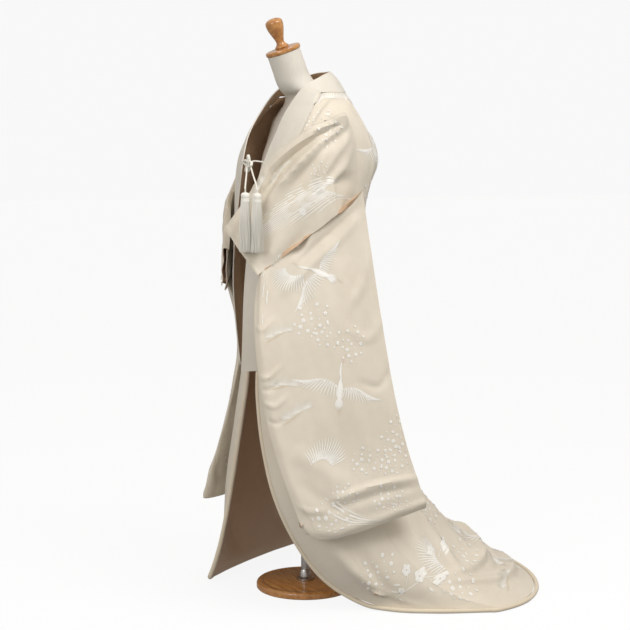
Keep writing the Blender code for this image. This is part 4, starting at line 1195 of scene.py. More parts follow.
class Sleeve:
    """A hanging sleeve: two layers joined along the top, the foot and below the cuff."""

    def __init__(self, cut: SleeveCut, robe: Robe, cloud: tuple[Array, Array],
                 creases: tuple[Sequence[Crease], Sequence[Crease]]) -> None:
        """Lay out both layers with their creases."""
        outer, inner = cut.layers(robe, *cloud)
        self.cut = cut
        self.inner = SleeveLayer(inner, float(cut.side.value), ())
        a, b = np.meshgrid(np.linspace(0, 12, 60), np.linspace(0, 23, 160))
        mates, ways = self.inner.plain(a, b).reshape(-1, 3), -self.inner.facing(a, b).reshape(-1, 3)
        columns, rows = np.meshgrid(np.arange(13.0), np.arange(24.0))
        apart = settled(outer, mates, ways, self.cut.layers_apart) - outer
        outer = outer + apart * self.inner.fade(columns, rows)[..., None]
        self.outer = SleeveLayer(outer, -float(cut.side.value), creases[0])
        followed = tuple(Crease(c.route, -c.height, c.width, -c.lean) for c in creases[0])
        self.inner.creases = (*followed, *creases[1])

    def build(self, finishes: Sequence[bpy.types.Material]) -> bpy.types.Object:
        """The bag as one cloth.

        Args:
            finishes: Brocade, then the lining inside.

        Returns:
            The sleeve.
        """
        fine = np.linspace(0, self.outer.limits[3], 500)
        down = run_along(self.outer.plain(np.full(500, 6.0), fine))
        rows = np.interp(np.linspace(0, down[-1], 165), down, fine)
        merged = float(self.cut.first_merged_row)
        rows[np.argmin(np.abs(rows - merged))] = merged
        columns = np.linspace(0, self.outer.limits[1], 76)
        a, b = np.meshgrid(columns, rows)
        outer, ways = self.outer.surface(a, b)
        room = self.cut.least_gap * self.inner.openness(a, b)
        cloud, facing = outer[::2, ::2].reshape(-1, 3), -ways[::2, ::2].reshape(-1, 3)
        inner = clear_of(self.inner.surface(a, b)[0].reshape(-1, 3), cloud, facing, room.ravel())
        layers = [outer, inner.reshape(outer.shape)]
        outer_index = np.arange(a.size).reshape(a.shape)
        inner_index = outer_index + a.size
        inner_index[[0, -1]] = outer_index[[0, -1]]
        closed = rows >= merged - 1e-6
        inner_index[closed, -1] = outer_index[closed, -1]
        flip = self.cut.side is Side.LEFT
        quads = np.concatenate([grid_quads(outer_index, flip), grid_quads(inner_index, not flip)])
        points = np.concatenate([layer.reshape(-1, 3) for layer in layers])
        runs = [np.stack([run_along(layer.swapaxes(0, 1)).T, -run_along(layer)], -1) for layer in layers]
        uv = np.concatenate([run.reshape(-1, 2) for run in runs])
        used, quads = np.unique(quads, return_inverse=True)
        quads, points, uv = quads.reshape(-1, 4), points[used], uv[used]
        piece = shell(f"sleeve_{self.cut.side.word}_cloth", points, mesh_facing(points, quads), quads,
                      FACE_WALL, uv, finishes)
        return settle(piece, "brocade", f"sleeve_{self.cut.side.word}")


# Woven and embroidered figures

class Satin(Enum):
    """Slots of the figures' threads."""

    WHITE = 0
    PEARL = 1
    STRAW = 2
    SHELL = 3


Block = tuple[Array, Satin]
Route = Sequence[tuple[float, float]]
STATIONS = 8


def strips(base: Array, angle: Array, length: Array, half: Array, bend: Array) -> Array:
    """Leaf-shaped strips, each a curved line with a breadth that swells and closes.

    Args:
        base: Where each strip starts, in metres on the flat cloth.
        angle: Heading at the start, in degrees.
        length: Metres.
        half: Greatest half breadth.
        bend: Degrees that the heading turns by along the strip.

    Returns:
        Strips by stations by left edge, middle and right edge by x and y.
    """
    s = np.linspace(0, 1, STATIONS)[None, :]
    turn = np.radians(angle[:, None] + bend[:, None] * s)
    heading = np.stack([np.cos(turn), np.sin(turn)], -1)
    steps = (heading[:, 1:] + heading[:, :-1]) / 2 * (length / (STATIONS - 1))[:, None, None]
    path = base[:, None] + np.concatenate([np.zeros((len(base), 1, 2)), np.cumsum(steps, axis=1)], axis=1)
    breadth = (half[:, None] * np.sin(math.pi * (0.07 + 0.91 * s**0.85))**0.7)[..., None]
    side = np.stack([-np.sin(turn), np.cos(turn)], -1) * breadth
    return np.stack([path + side, path, path - side], axis=2)


def one(x: float, y: float, angle: float, length: float, half: float, satin: Satin,
        bend: float = 0.0) -> Block:
    """A single strip."""
    values = (np.array([value]) for value in (angle, length, half, bend))
    return strips(np.array([[x, y]]), *values), satin


def fan(route: Route, angles: tuple[float, float], lengths: tuple[float, float, float], half: float,
        count: int, satin: Satin, bend: float = 0.0) -> Block:
    """Strips side by side along a bowed line, as feathers on a wing.

    Args:
        route: Start, middle and end of the line.
        angles: Headings of the first and last strip, in degrees.
        lengths: Lengths at the start, past the middle and at the end.
        half: Half breadth.
        count: Number of strips.
        satin: Their thread.
        bend: Degrees that each turns by.

    Returns:
        The block.
    """
    t = np.linspace(0, 1, count)
    start, middle, end = (np.array(stop)[None] for stop in route)
    base = start * (1 - t[:, None])**2 + 2 * middle * (t * (1 - t))[:, None] + end * t[:, None]**2
    return strips(base, np.interp(t, [0, 1], angles), np.interp(t, [0, 0.6, 1], lengths),
                  np.full(count, half), np.full(count, bend)), satin


def moved(blocks: Sequence[Block], x: float, y: float, size: float = 1.0, turn: float = 0.0) -> list[Block]:
    """Blocks scaled, turned and set down elsewhere."""
    c, s = math.cos(math.radians(turn)) * size, math.sin(math.radians(turn)) * size
    return [(block @ np.array([[c, s], [-s, c]]) + np.array([x, y]), satin) for block, satin in blocks]


def wing(route: Route, angles: tuple[float, float], reach: float, bend: float) -> list[Block]:
    """A spread wing: a row of long fine feathers, then two shorter rows laid over it.

    Args:
        route: The wing's bony edge.
        angles: Headings of its first and last feather, in degrees.
        reach: Length of the longest feather, in metres.
        bend: Degrees that a long feather turns by.

    Returns:
        The three rows.
    """
    rows = ((1.00, 0.0019, 19, Satin.WHITE, 1.0), (0.50, 0.0015, 17, Satin.PEARL, 0.7),
            (0.22, 0.0022, 13, Satin.WHITE, 0.4))
    lengths = (reach * 0.62, reach, reach * 0.84)
    return [fan(route, angles, tuple(length * share for length in lengths), half, count, satin, bend * ease)
            for share, half, count, satin, ease in rows]


def crane() -> list[Block]:
    """A crane in flight towards +x, wings up and down, legs trailing.

    Returns:
        Legs, tail, lower wing, body, upper wing, neck, head and beak.
    """
    return [
        one(-0.030, -0.002, 184, 0.062, 0.0009, Satin.STRAW, 4),
        one(-0.030, -0.005, 188, 0.058, 0.0009, Satin.STRAW, 3),
        fan([(-0.030, 0.006), (-0.034, 0.0), (-0.028, -0.008)], (166, 198), (0.026, 0.038, 0.028),
            0.0016, 11, Satin.WHITE),
        *wing([(0.008, -0.006), (0.034, -0.058), (-0.014, -0.094)], (178, 286), 0.060, -20),
        one(-0.036, -0.001, 4, 0.076, 0.0095, Satin.WHITE, 6),
        *wing([(0.010, 0.008), (0.052, 0.066), (0.002, 0.118)], (186, 72), 0.070, 20),
        one(0.032, 0.004, 26, 0.066, 0.0036, Satin.WHITE, -34),
        one(0.091, 0.012, -6, 0.014, 0.0036, Satin.SHELL),
        one(0.103, 0.010, -9, 0.021, 0.0011, Satin.STRAW),
    ]


def cluster() -> list[Block]:
    """Small blossoms on a spiral over a hand's breadth, thicker towards the middle.

    Returns:
        Petals, with stamens in every third blossom.
    """
    made: list[Block] = []
    for number in range(22):
        far, turn = 0.0115 * math.sqrt(number + 0.4), number * GOLDEN_ANGLE
        size = 0.36 + 0.16 * math.sin(number * 2.1) - 0.004 * number
        petals = blossom()[:1] if number % 3 else blossom()[:2]
        made += moved(petals, far * math.cos(turn) * 1.25, far * math.sin(turn) * 0.85, size, number * 31)
    return made


def blossom(radius: float = 0.013) -> list[Block]:
    """A plum blossom with five round petals and its stamens.

    Args:
        radius: Metres from the middle to the petals' tips.

    Returns:
        Petals, stamens and the stamens' heads.
    """
    around = 90 + 72 * np.arange(5.0)
    rays = 54 + 40 * np.arange(9.0)
    made: list[Block] = []
    for angles, start, length, half, satin in ((around, 0.12, 0.92, 0.50, Satin.WHITE),
                                               (rays, 0.06, 0.46, 0.035, Satin.STRAW),
                                               (rays, 0.47, 0.10, 0.06, Satin.SHELL)):
        ways = np.stack([np.cos(np.radians(angles)), np.sin(np.radians(angles))], -1)
        size = np.full(len(angles), radius)
        made.append((strips(ways * radius * start, angles, size * length, size * half, size * 0), satin))
    return made


def spray() -> list[Block]:
    """A bough of plum with its twigs, leaves and blossoms.

    Returns:
        Bough and twigs, then leaves with their veins, then blossoms.
    """
    made = [one(-0.085, -0.030, 32, 0.115, 0.0024, Satin.PEARL, -26),
            one(0.000, 0.012, 6, 0.080, 0.0018, Satin.PEARL, 34),
            one(-0.030, 0.006, 74, 0.045, 0.0014, Satin.PEARL, -30),
            one(0.018, 0.013, -38, 0.042, 0.0013, Satin.PEARL, 24)]
    for x, y, turn in ((-0.062, -0.008, 130), (-0.046, 0.016, 150), (0.040, 0.034, 96), (0.044, -0.006, -20),
                       (0.030, -0.022, -80), (-0.070, -0.030, -70), (0.070, 0.022, 20)):
        made.append(one(x, y, turn, 0.022, 0.0046, Satin.PEARL, 24))
        made.append(one(x, y, turn + 2, 0.020, 0.0006, Satin.STRAW, 24))
    for x, y, size, turn in ((-0.018, 0.044, 1.0, 8), (0.014, 0.016, 1.25, 40), (0.056, -0.016, 0.9, 20),
                             (0.078, 0.040, 1.05, 65), (-0.050, -0.002, 0.8, 15), (0.034, 0.052, 0.7, 30)):
        made += moved(blossom(), x, y, size, turn)
    return made


def pine() -> list[Block]:
    """Three tufts of pine needles on a twig.

    Returns:
        Twig, then tufts.
    """
    made = [one(-0.040, -0.012, 14, 0.085, 0.0020, Satin.STRAW, 10)]
    for x, y, size in ((-0.022, 0.002, 1.0), (0.010, 0.008, 1.2), (0.042, 0.010, 0.9)):
        made.append(fan([(x - 0.003, y), (x, y + 0.001), (x + 0.003, y)], (172, 8),
                        (0.022 * size, 0.028 * size, 0.022 * size), 0.0011, 15, Satin.PEARL))
    return made


def mist() -> list[Block]:
    """A band of mist: long level lines that stop at different lengths."""
    return [one(x, y, 1, length, 0.0026, satin, 2 - 4 * (y > 0)) for x, y, length, satin in (
        (-0.10, 0.018, 0.15, Satin.PEARL), (-0.12, 0.009, 0.22, Satin.WHITE), (-0.07, 0.0, 0.20, Satin.PEARL),
        (-0.11, -0.009, 0.19, Satin.WHITE), (-0.04, -0.018, 0.14, Satin.PEARL))]


def plume() -> list[Block]:
    """Overlapping long feathers, as they lie over shoulders and collar."""
    return wing([(-0.030, -0.020), (0.0, 0.030), (0.030, 0.0)], (128, 34), 0.074, 24)


class Motif(Enum):
    """The figures of the cloth."""

    CRANE = "crane"
    SPRAY = "spray"
    BLOSSOM = "blossom"
    PINE = "pine"
    CLUSTER = "cluster"
    MIST = "mist"
    PLUME = "plume"

    def blocks(self) -> list[Block]:
        """The strips of this figure."""
        makers: dict[Motif, Callable[[], list[Block]]] = {
            Motif.CRANE: crane, Motif.SPRAY: spray, Motif.CLUSTER: cluster, Motif.BLOSSOM: blossom,
            Motif.PINE: pine, Motif.MIST: mist, Motif.PLUME: plume}
        return makers[self]()


@dataclass(frozen=True)
class Placed:
    """One figure at a place on a panel; flip mirrors it."""

    motif: Motif
    a: float
    b: float
    size: float = 1.0
    turn: float = 0.0
    flip: bool = False


def embroider(name: str, panel: Panel, figures: Sequence[Placed],
              finishes: Sequence[bpy.types.Material]) -> bpy.types.Object:
    """Lay figures on a panel as low padded satin, all in one mesh.

    Args:
        name: The object's name.
        panel: The panel under them.
        figures: What lies where.
        finishes: Materials in the order of the threads.

    Returns:
        The object.
    """
    grids, lifts, slots = [], [], []
    s = np.linspace(0, 1, STATIONS)
    middle = np.array([0.0, 1.0, 0.0])[None, None, :]
    for figure in figures:
        for order, (block, satin) in enumerate(figure.motif.blocks()):
            flat = block * np.array([-1.0 if figure.flip else 1.0, 1.0]) * figure.size
            flat = flat[:, :, ::-1] if figure.flip else flat
            a, b = panel.local(figure.a, figure.b, flat, figure.turn)
            grids.append(np.stack([a, b], -1))
            breadth = np.linalg.norm(flat[:, :, 0] - flat[:, :, 1], axis=-1)[..., None]
            swell = np.minimum(FIGURE_LIFT, 0.22 * breadth) * middle
            lifts.append(FACE_WALL / 2 + FIGURE_LIFT * 0.7 + swell + 0.00003 * order)
            slots.append(np.full(len(block) * (STATIONS - 1) * 2, satin.value))
    grid, lift = np.concatenate(grids), np.concatenate(lifts)
    points, _ = panel.surface(grid[..., 0], grid[..., 1], lift)
    index = np.arange(lift.size).reshape(lift.shape)
    corners = [index[:, :-1, :-1], index[:, :-1, 1:], index[:, 1:, 1:], index[:, 1:, :-1]]
    cells = np.stack(corners, -1).reshape(-1, 4)
    along = np.broadcast_to(s[None, :, None], lift.shape)
    across = np.broadcast_to(np.array([-1.0, 0.0, 1.0])[None, None, :], lift.shape)
    uv = np.stack([across, along], -1).reshape(-1, 2)
    piece = build_object(name, points.reshape(-1, 3), [cells], finishes, uv, np.concatenate(slots))
    return settle(piece, "brocade")


# The dress form and its stand

@dataclass(frozen=True)
class DressForm:
    """Torso with its leaning neck, cap, knob, pole and base, sizes in metres."""

    cap_radius: float = 0.053
    cap_thickness: float = 0.013
    pole_radius: float = 0.0125
    base_radius: float = 0.150
    base_height: float = 0.022
    sides: int = 96
    gap: float = 0.0003
    knob: tuple[tuple[float, float], ...] = (
        (0.0, 0.0), (1.9, 0.0), (2.1, 0.5), (1.5, 1.1), (1.2, 1.9), (1.45, 3.0), (1.95, 4.4), (2.4, 5.8),
        (2.6, 7.1), (2.5, 8.0), (1.9, 8.6), (0.9, 8.95), (0.0, 9.0))

    @property
    def lean(self) -> float:
        """Lean of the neck, in radians."""
        return math.radians(TORSO[-1, 4])

    def ring_faces(self, rows: int) -> tuple[Array, Array]:
        """Quads round rows of points, and the triangles that close both ends to a point.

        Args:
            rows: How many rows there are.

        Returns:
            Quads, then triangles.
        """
        index = np.arange(rows * self.sides).reshape(rows, self.sides)
        index = np.concatenate([index, index[:, :1]], axis=1)
        foot, head = rows * self.sides, rows * self.sides + 1
        low = np.stack([np.full(self.sides, foot), index[0, 1:], index[0, :-1]], -1)
        high = np.stack([np.full(self.sides, head), index[-1, :-1], index[-1, 1:]], -1)
        return grid_quads(index, True), np.concatenate([low, high])

    def torso(self, finish: bpy.types.Material) -> bpy.types.Object:
        """Linen torso: ovals through the sections, each leaned forward about its middle.

        Args:
            finish: Its linen.

        Returns:
            The torso.
        """
        z, half_x, half_y, mid_y, lean = (smooth_rows(TORSO, np.linspace(0, len(TORSO) - 1, 150)).T[..., None]
                                          * np.array([CM, CM, CM, CM, math.radians(1)])[:, None, None])
        angle = np.linspace(0, 2 * math.pi, self.sides, endpoint=False)[None, :]
        seam = 1 - 0.0035 * sum(np.exp(-((np.mod(angle - at + math.pi, 2 * math.pi) - math.pi) / 0.035)**2)
                                for at in (-math.pi / 2, math.pi / 2, 0.0, math.pi, -0.95, -2.19))
        deep = half_y * np.sin(angle) * seam
        rings = np.stack([half_x * np.cos(angle) * seam, mid_y + deep * np.cos(lean),
                          z + deep * np.sin(lean)], -1)
        points = np.concatenate([rings.reshape(-1, 3), rings[0].mean(0)[None], rings[-1].mean(0)[None]])
        piece = build_object("torso_linen", points, self.ring_faces(len(rings)), [finish])
        return settle(piece, "linen", "form_torso")

    def turned(self, name: str, profile: Array, finish: bpy.types.Material, place: Array,
               lean: float = 0.0) -> bpy.types.Object:
        """A turned piece: its profile of radius and height goes round, then leans about its foot.

        Args:
            name: The piece's name.
            profile: Rows of radius and height, from one end of the axis to the other.
            finish: Its material.
            place: Where its foot stands.
            lean: Radians that it leans forward by.

        Returns:
            The piece.
        """
        angle = np.linspace(0, 2 * math.pi, self.sides, endpoint=False)[None, :]
        radius, height = profile[1:-1, 0][:, None], profile[1:-1, 1][:, None]
        rings = np.stack([radius * np.cos(angle), radius * np.sin(angle), height + 0 * angle], -1)
        points = np.concatenate([rings.reshape(-1, 3), [[0, 0, profile[0, 1]]], [[0, 0, profile[-1, 1]]]])
        y = points[:, 1] * math.cos(lean) - points[:, 2] * math.sin(lean)
        z = points[:, 1] * math.sin(lean) + points[:, 2] * math.cos(lean)
        return build_object(name, np.stack([points[:, 0], y, z], -1) + place,
                            self.ring_faces(len(profile) - 2), [finish], sharp=38)

    def build(self, linen: bpy.types.Material, wood: bpy.types.Material, metal: bpy.types.Material) -> None:
        """Every piece of the form.

        Args:
            linen: Finish of the torso.
            wood: Finish of cap, knob and base.
            metal: Finish of the pole.
        """
        self.torso(linen)
        up = np.array([0.0, -math.sin(self.lean), math.cos(self.lean)])
        top = np.array([0.0, TORSO[-1, 3], TORSO[-1, 0]]) * CM + up * self.gap
        r, t = self.cap_radius, self.cap_thickness
        cap = np.array([(0, 0), (r - 0.004, 0), (r - 0.0012, 0.0012), (r, 0.004), (r, t - 0.004),
                        (r - 0.0012, t - 0.0012), (r - 0.004, t), (r * 0.52, t), (r * 0.5, t - 0.0006),
                        (r * 0.48, t), (0, t)])
        settle(self.turned("cap_wood", cap, wood, top, self.lean), "turned_wood", "form_cap")
        profile = np.array(self.knob)
        places = np.linspace(0, len(profile) - 2, 70)
        fine = np.concatenate([profile[:1], smooth_rows(profile[1:], places)]) * CM
        settle(self.turned("knob_wood", fine, wood, top + up * (t + self.gap), self.lean),
               "turned_wood", "form_knob")
        r, t = self.base_radius, self.base_height
        base = np.array([(0, 0), (r - 0.003, 0), (r, 0.003), (r, t - 0.008), (r - 0.0015, t - 0.004),
                         (r - 0.005, t - 0.001), (r - 0.010, t), (r * 0.86, t), (r * 0.85, t - 0.001),
                         (r * 0.84, t), (0, t)])
        settle(self.turned("base_wood", base, wood, np.zeros(3)), "turned_wood", "stand_base")
        foot, head, p = t + self.gap, TORSO[0, 0] * CM - self.gap, self.pole_radius
        pole = np.array([(0, foot), (0.026, foot), (0.027, foot + 0.002), (0.027, foot + 0.006),
                         (0.018, foot + 0.011), (0.0165, foot + 0.030), (0.0155, foot + 0.032),
                         (p, foot + 0.033), (p, head), (0, head)])
        settle(self.turned("pole_steel", pole, metal, np.zeros(3)), "pole_metal", "stand_pole")


# The front tie

@dataclass(frozen=True)
class FrontTie:
    """Knot, collar loops, twisted cords and tassels, sizes in metres."""

    knot: tuple[float, float, float] = (0.006, -0.1885, 1.298)
    heads: tuple[tuple[float, float, float], ...] = ((0.151, -0.279, 1.216), (0.173, -0.253, 1.214))
    strand: float = 0.00135
    head_radius: float = 0.0125
    head_height: float = 0.026
    fringe: float = 0.138
    fringe_threads: int = 230

    def twisted(self, name: str, path: Array, finish: bpy.types.Material) -> bpy.types.Object:
        """Two strands that wind round a path.

        Args:
            name: The piece's name.
            path: Middle of the cord, in metres.
            finish: Its silk.

        Returns:
            The cord.
        """
        _, first, second = path_frames(path)
        turn = run_along(path)[:, None] / 0.0021
        around = (first * np.cos(turn) + second * np.sin(turn)) * self.strand * 0.9
        points, quads, tris = join_parts([tube_parts(path + around, self.strand),
                                          tube_parts(path - around, self.strand)])
        return build_object(name, points, [quads, tris], [finish])

    def smooth(self, stops: Sequence[Array], count: int) -> Array:
        """A smooth route through a few stops."""
        return smooth_rows(np.array(stops, float), np.linspace(0, len(stops) - 1, count))

    def bow(self, finish: bpy.types.Material) -> bpy.types.Object:
        """The ornamental knot: four petal loops and a round bound middle, all of one cord.

        Args:
            finish: Its silk.

        Returns:
            The knot.
        """
        knot, t = np.array(self.knot), np.linspace(0, 2 * math.pi, 161)
        reach = 0.0075 + 0.0165 * np.abs(np.cos(2 * t + 0.35))**1.3
        loops = knot + np.stack([reach * np.cos(t), -0.0045 + 0.0022 * np.sin(4 * t), reach * np.sin(t)], -1)
        core_turn = np.linspace(0, 10 * math.pi, 140)
        core = knot + np.stack([0.0062 * np.cos(core_turn), -0.0085 + np.linspace(0, 0.009, 140),
                                0.0062 * np.sin(core_turn)], -1)
        points, quads, tris = join_parts([tube_parts(loops, 0.0026),
                                          tube_parts(loops + (0, -0.0040, 0), 0.0021),
                                          tube_parts(core, 0.0017)])
        return settle(build_object("knot_cord", points, [quads, tris], [finish]), "tie_silk", "tie_knot")

    def tassel(self, name: str, head: Array, finishes: Sequence[bpy.types.Material]) -> bpy.types.Object:
        """A bound head over fine threads that hang and spread a little.

        Args:
            name: The object's name.
            head: Its top.
            finishes: Silk of the threads and of the binding.

        Returns:
            The tassel.
        """
        count, stations = self.fringe_threads, 9
        number = np.arange(count)
        angle, share = number * GOLDEN_ANGLE, np.sqrt((number + 0.5) / count)
        s = np.linspace(0, 1, stations)[None, :]
        spread = self.head_radius * share[:, None] * (0.92 + 0.52 * np.sin(s * math.pi / 2))
        wave = 0.0009 * np.sin(s * 7 + number[:, None] * 1.7) * s
        turn = angle[:, None] + 0.10 * np.sin(number * 0.9)[:, None] * s
        length = (self.fringe + self.head_height * 0.4) * (1 + 0.03 * np.sin(number * 5.1))[:, None]
        x, y = spread * np.cos(turn) + wave, spread * np.sin(turn) + wave * 0.6
        z = -self.head_height * 0.6 - length * s
        line = np.stack([x, y, z], -1)
        corner = np.arange(3) * 2 * math.pi / 3
        ring = np.stack([np.cos(corner), np.sin(corner), 0 * corner], -1) * 0.00095
        threads = (line[:, :, None] + ring * (1 - 0.35 * s[..., None, None])).reshape(-1, 3)
        index = np.arange(count * stations * 3).reshape(count, stations, 3)
        index = np.concatenate([index, index[:, :, :1]], axis=2)
        corners = [index[:, :-1, :-1], index[:, 1:, :-1], index[:, 1:, 1:], index[:, :-1, 1:]]
        quads = np.stack(corners, -1).reshape(-1, 4)
        ends = np.concatenate([index[:, 0, :3], index[:, -1, 2::-1]])
        rise = np.linspace(0, 1, 90)
        outline = np.interp(rise, [0, 0.06, 0.2, 0.42, 0.6, 0.8, 1.0],
                            [0.3, 0.72, 0.98, 1.02, 0.90, 0.97, 1.0])
        wraps = 1 + 0.035 * np.cos(rise * 2 * math.pi * 17) * (np.abs(rise - 0.6) < 0.17)
        axis = np.stack([0 * rise, 0 * rise, -rise * self.head_height], -1)
        cover = tube_parts(axis, self.head_radius * outline * wraps, 40)
        points, all_quads, tris = join_parts([(threads, quads, ends), cover])
        slots = np.repeat([0, 1, 0, 1], [len(quads), len(cover[1]), len(ends), len(cover[2])])
        piece = build_object(name, points + head, [all_quads, tris], finishes, slots=slots)
        return piece

    def build(self, silk: bpy.types.Material, binding: bpy.types.Material) -> None:
        """Every piece of the tie.

        Args:
            silk: Finish of cords, knot and threads.
            binding: Finish of the bound heads.
        """
        knot = np.array(self.knot)
        self.bow(silk)
        loops = {"left": [(0.0085, 0, 0.002), (0.022, 0.002, 0.007), (0.0372, 0.0243, 0.004)],
                 "right": [(-0.0085, 0, 0.002), (-0.024, -0.004, 0.008), (-0.0507, 0.0024, 0.006)]}
        for word, stops in loops.items():
            piece = self.twisted(f"loop_{word}_cord", self.smooth([knot + stop for stop in stops], 60), silk)
            settle(piece, "tie_silk", f"tie_loop_{word}")
        starts = {"right": (0.0027, -0.0105, -0.0086), "left": (0.0094, -0.0023, -0.0082)}
        for (word, offset), head in zip(starts.items(), self.heads):
            start, end = knot + offset, np.array(head) + (0, 0, 0.0003)
            stops = [start, start * 0.6 + end * 0.4 + (0, 0, 0.004), start * 0.2 + end * 0.8 + (0, 0, 0.012),
                     end + (0, 0, 0.012), end + (0, 0, 0.006), end]
            cord = self.twisted(f"cord_{word}_silk", self.smooth(stops, 200), silk)
            settle(cord, "tie_silk", f"tie_cord_{word}")
            tassel = self.tassel(f"tassel_{word}_silk", np.array(head), [silk, binding])
            settle(tassel, "tie_silk", f"tassel_{word}")


# Finishes

class Graph:
    """Short hand for wiring one shader tree."""

    def __init__(self, tree: bpy.types.NodeTree) -> None:
        """Keep the tree."""
        self.tree = tree

    def node(self, kind: str, inputs: dict[str | int, object] | None = None,
             **settings: object) -> bpy.types.Node:
        """Add a node.

        Args:
            kind: Its type.
            inputs: Values or sockets, by input.
            settings: Its properties.

        Returns:
            The node.
        """
        made = self.tree.nodes.new(kind)
        for key, value in settings.items():
            setattr(made, key, value)
        for key, value in (inputs or {}).items():
            if isinstance(value, bpy.types.NodeSocket):
                self.tree.links.new(value, made.inputs[key])
            else:
                made.inputs[key].default_value = value
        return made

    def math(self, operation: str, first: object, second: object = 0.0) -> bpy.types.NodeSocket:
        """One sum."""
        return self.node("ShaderNodeMath", {0: first, 1: second}, operation=operation).outputs[0]

    def noise(self, place: bpy.types.NodeSocket, scale: float, detail: float = 3.0) -> bpy.types.NodeSocket:
        """Smooth noise from 0 to 1."""
        return self.node("ShaderNodeTexNoise", {"Vector": place, "Scale": scale, "Detail": detail}).outputs[0]

    def mix(self, share: object, first: object, second: object) -> bpy.types.NodeSocket:
        """A colour between two."""
        return self.node("ShaderNodeMix", {0: share, 6: first, 7: second}, data_type="RGBA").outputs[2]

    def spread(self, value: object, low: float, high: float, to_low: float = 0.0,
               to_high: float = 1.0) -> bpy.types.NodeSocket:
        """A value carried from one range to another, held at both ends."""
        return self.node("ShaderNodeMapRange", {0: value, 1: low, 2: high, 3: to_low, 4: to_high}).outputs[0]


def new_group(name: str, inputs: Sequence[tuple[str, str]], outputs: Sequence[tuple[str, str]],
              fill: Callable[[Graph, bpy.types.Node], Sequence[bpy.types.NodeSocket]]) -> bpy.types.NodeTree:
    """A node group.

    Args:
        name: The group's name.
        inputs: Names and socket types.
        outputs: Names and socket types.
        fill: Wires the inside and gives back the sockets for the outputs.

    Returns:
        The group.
    """
    tree = bpy.data.node_groups.new(name, "ShaderNodeTree")
    for label, kind in inputs:
        tree.interface.new_socket(label, in_out="INPUT", socket_type=kind)
    for label, kind in outputs:
        tree.interface.new_socket(label, in_out="OUTPUT", socket_type=kind)
    graph = Graph(tree)
    made = fill(graph, graph.node("NodeGroupInput"))
    end = graph.node("NodeGroupOutput")
    for slot, socket in enumerate(made):
        tree.links.new(socket, end.inputs[slot])
    return tree


LOZENGE = 0.034
LOZENGE_SLOPE = 0.6


def fill_weave(g: Graph, given: bpy.types.Node) -> list[bpy.types.NodeSocket]:
    """Threads that cross, and a woven ground of lozenges within lozenges.

    Args:
        g: The group's graph.
        given: Its inputs: a place and the breadth of a thread.

    Returns:
        The height of the weave.
    """
    split = g.node("ShaderNodeSeparateXYZ", {0: given.outputs[0]})
    u, v = split.outputs[0], split.outputs[1]
    thread = g.math("DIVIDE", 2 * math.pi, given.outputs[1])
    weft = g.math("SINE", g.math("MULTIPLY", g.math("ADD", u, v), thread))
    warp = g.math("SINE", g.math("MULTIPLY", g.math("SUBTRACT", u, v), thread))
    across, slope = math.pi / LOZENGE, g.math("MULTIPLY", v, LOZENGE_SLOPE)
    left, right = (g.math("ABSOLUTE", g.math("SINE", g.math("MULTIPLY", g.math(way, u, slope), across)))
                   for way in ("ADD", "SUBTRACT"))
    near = g.math("MINIMUM", left, right)
    line = g.math("SUBTRACT", 1.0, g.spread(near, 0.08, 0.16))
    inner = g.math("SUBTRACT", g.spread(near, 0.50, 0.56), g.spread(near, 0.64, 0.70))
    figure = g.math("MAXIMUM", line, inner)
    threads = g.math("MULTIPLY", g.math("ADD", weft, warp), 0.25)
    return [g.math("ADD", threads, g.math("MULTIPLY", figure, 0.5))]


def fill_tone(g: Graph, given: bpy.types.Node) -> list[bpy.types.NodeSocket]:
    """Soft clouds, large and small, from 0 to 1.

    Args:
        g: The group's graph.
        given: Its input: a place.

    Returns:
        The tone.
    """
    large, small = g.noise(given.outputs[0], 4.5), g.noise(given.outputs[0], 38.0)
    return [g.math("ADD", g.math("MULTIPLY", large, 0.7), g.math("MULTIPLY", small, 0.3))]


class Groups:
    """The shared effects."""

    def __init__(self) -> None:
        """Make the groups."""
        place = ("Place", "NodeSocketVector")
        self.weave = new_group("crossed threads", [place, ("Thread", "NodeSocketFloat")],
                               [("Height", "NodeSocketFloat")], fill_weave)
        self.tone = new_group("soft tone", [place], [("Tone", "NodeSocketFloat")], fill_tone)


Colour = tuple[float, float, float]


@dataclass(frozen=True)
class Fabric:
    """A woven finish. Colours are linear; lengths are in metres."""

    name: str
    light: Colour
    deep: Colour
    roughness: float
    thread: float = 0.0011
    relief: float = 0.0003
    sheen: float = 0.15
    own_places: bool = True

    def material(self, groups: Groups) -> bpy.types.Material:
        """The finish as a material.

        Args:
            groups: The shared effects.

        Returns:
            The material.
        """
        made = bpy.data.materials.new(self.name)
        made.use_nodes = True
        g, shader = Graph(made.node_tree), made.node_tree.nodes["Principled BSDF"]
        body = g.node("ShaderNodeTexCoord").outputs["Object"]
        place = g.node("ShaderNodeUVMap", uv_map="cloth").outputs[0] if self.own_places else body
        weave = g.node("ShaderNodeGroup", {}, node_tree=groups.weave)
        g.tree.links.new(place, weave.inputs[0])
        weave.inputs[1].default_value = self.thread
        tone = g.node("ShaderNodeGroup", {}, node_tree=groups.tone)
        g.tree.links.new(body, tone.inputs[0])
        share = g.spread(tone.outputs[0], 0.35, 0.65, 0.0, 0.55)
        g.tree.links.new(g.mix(share, (*self.light, 1), (*self.deep, 1)), shader.inputs["Base Color"])
        shader.inputs["Roughness"].default_value = self.roughness
        bump = g.node("ShaderNodeBump", {"Height": weave.outputs[0], "Distance": self.relief,
                                         "Strength": 0.6})
        g.tree.links.new(bump.outputs[0], shader.inputs["Normal"])
        shader.inputs["Sheen Weight"].default_value = self.sheen
        shader.inputs["Sheen Roughness"].default_value = 0.4
        shader.inputs["Specular IOR Level"].default_value = 0.35
        return made


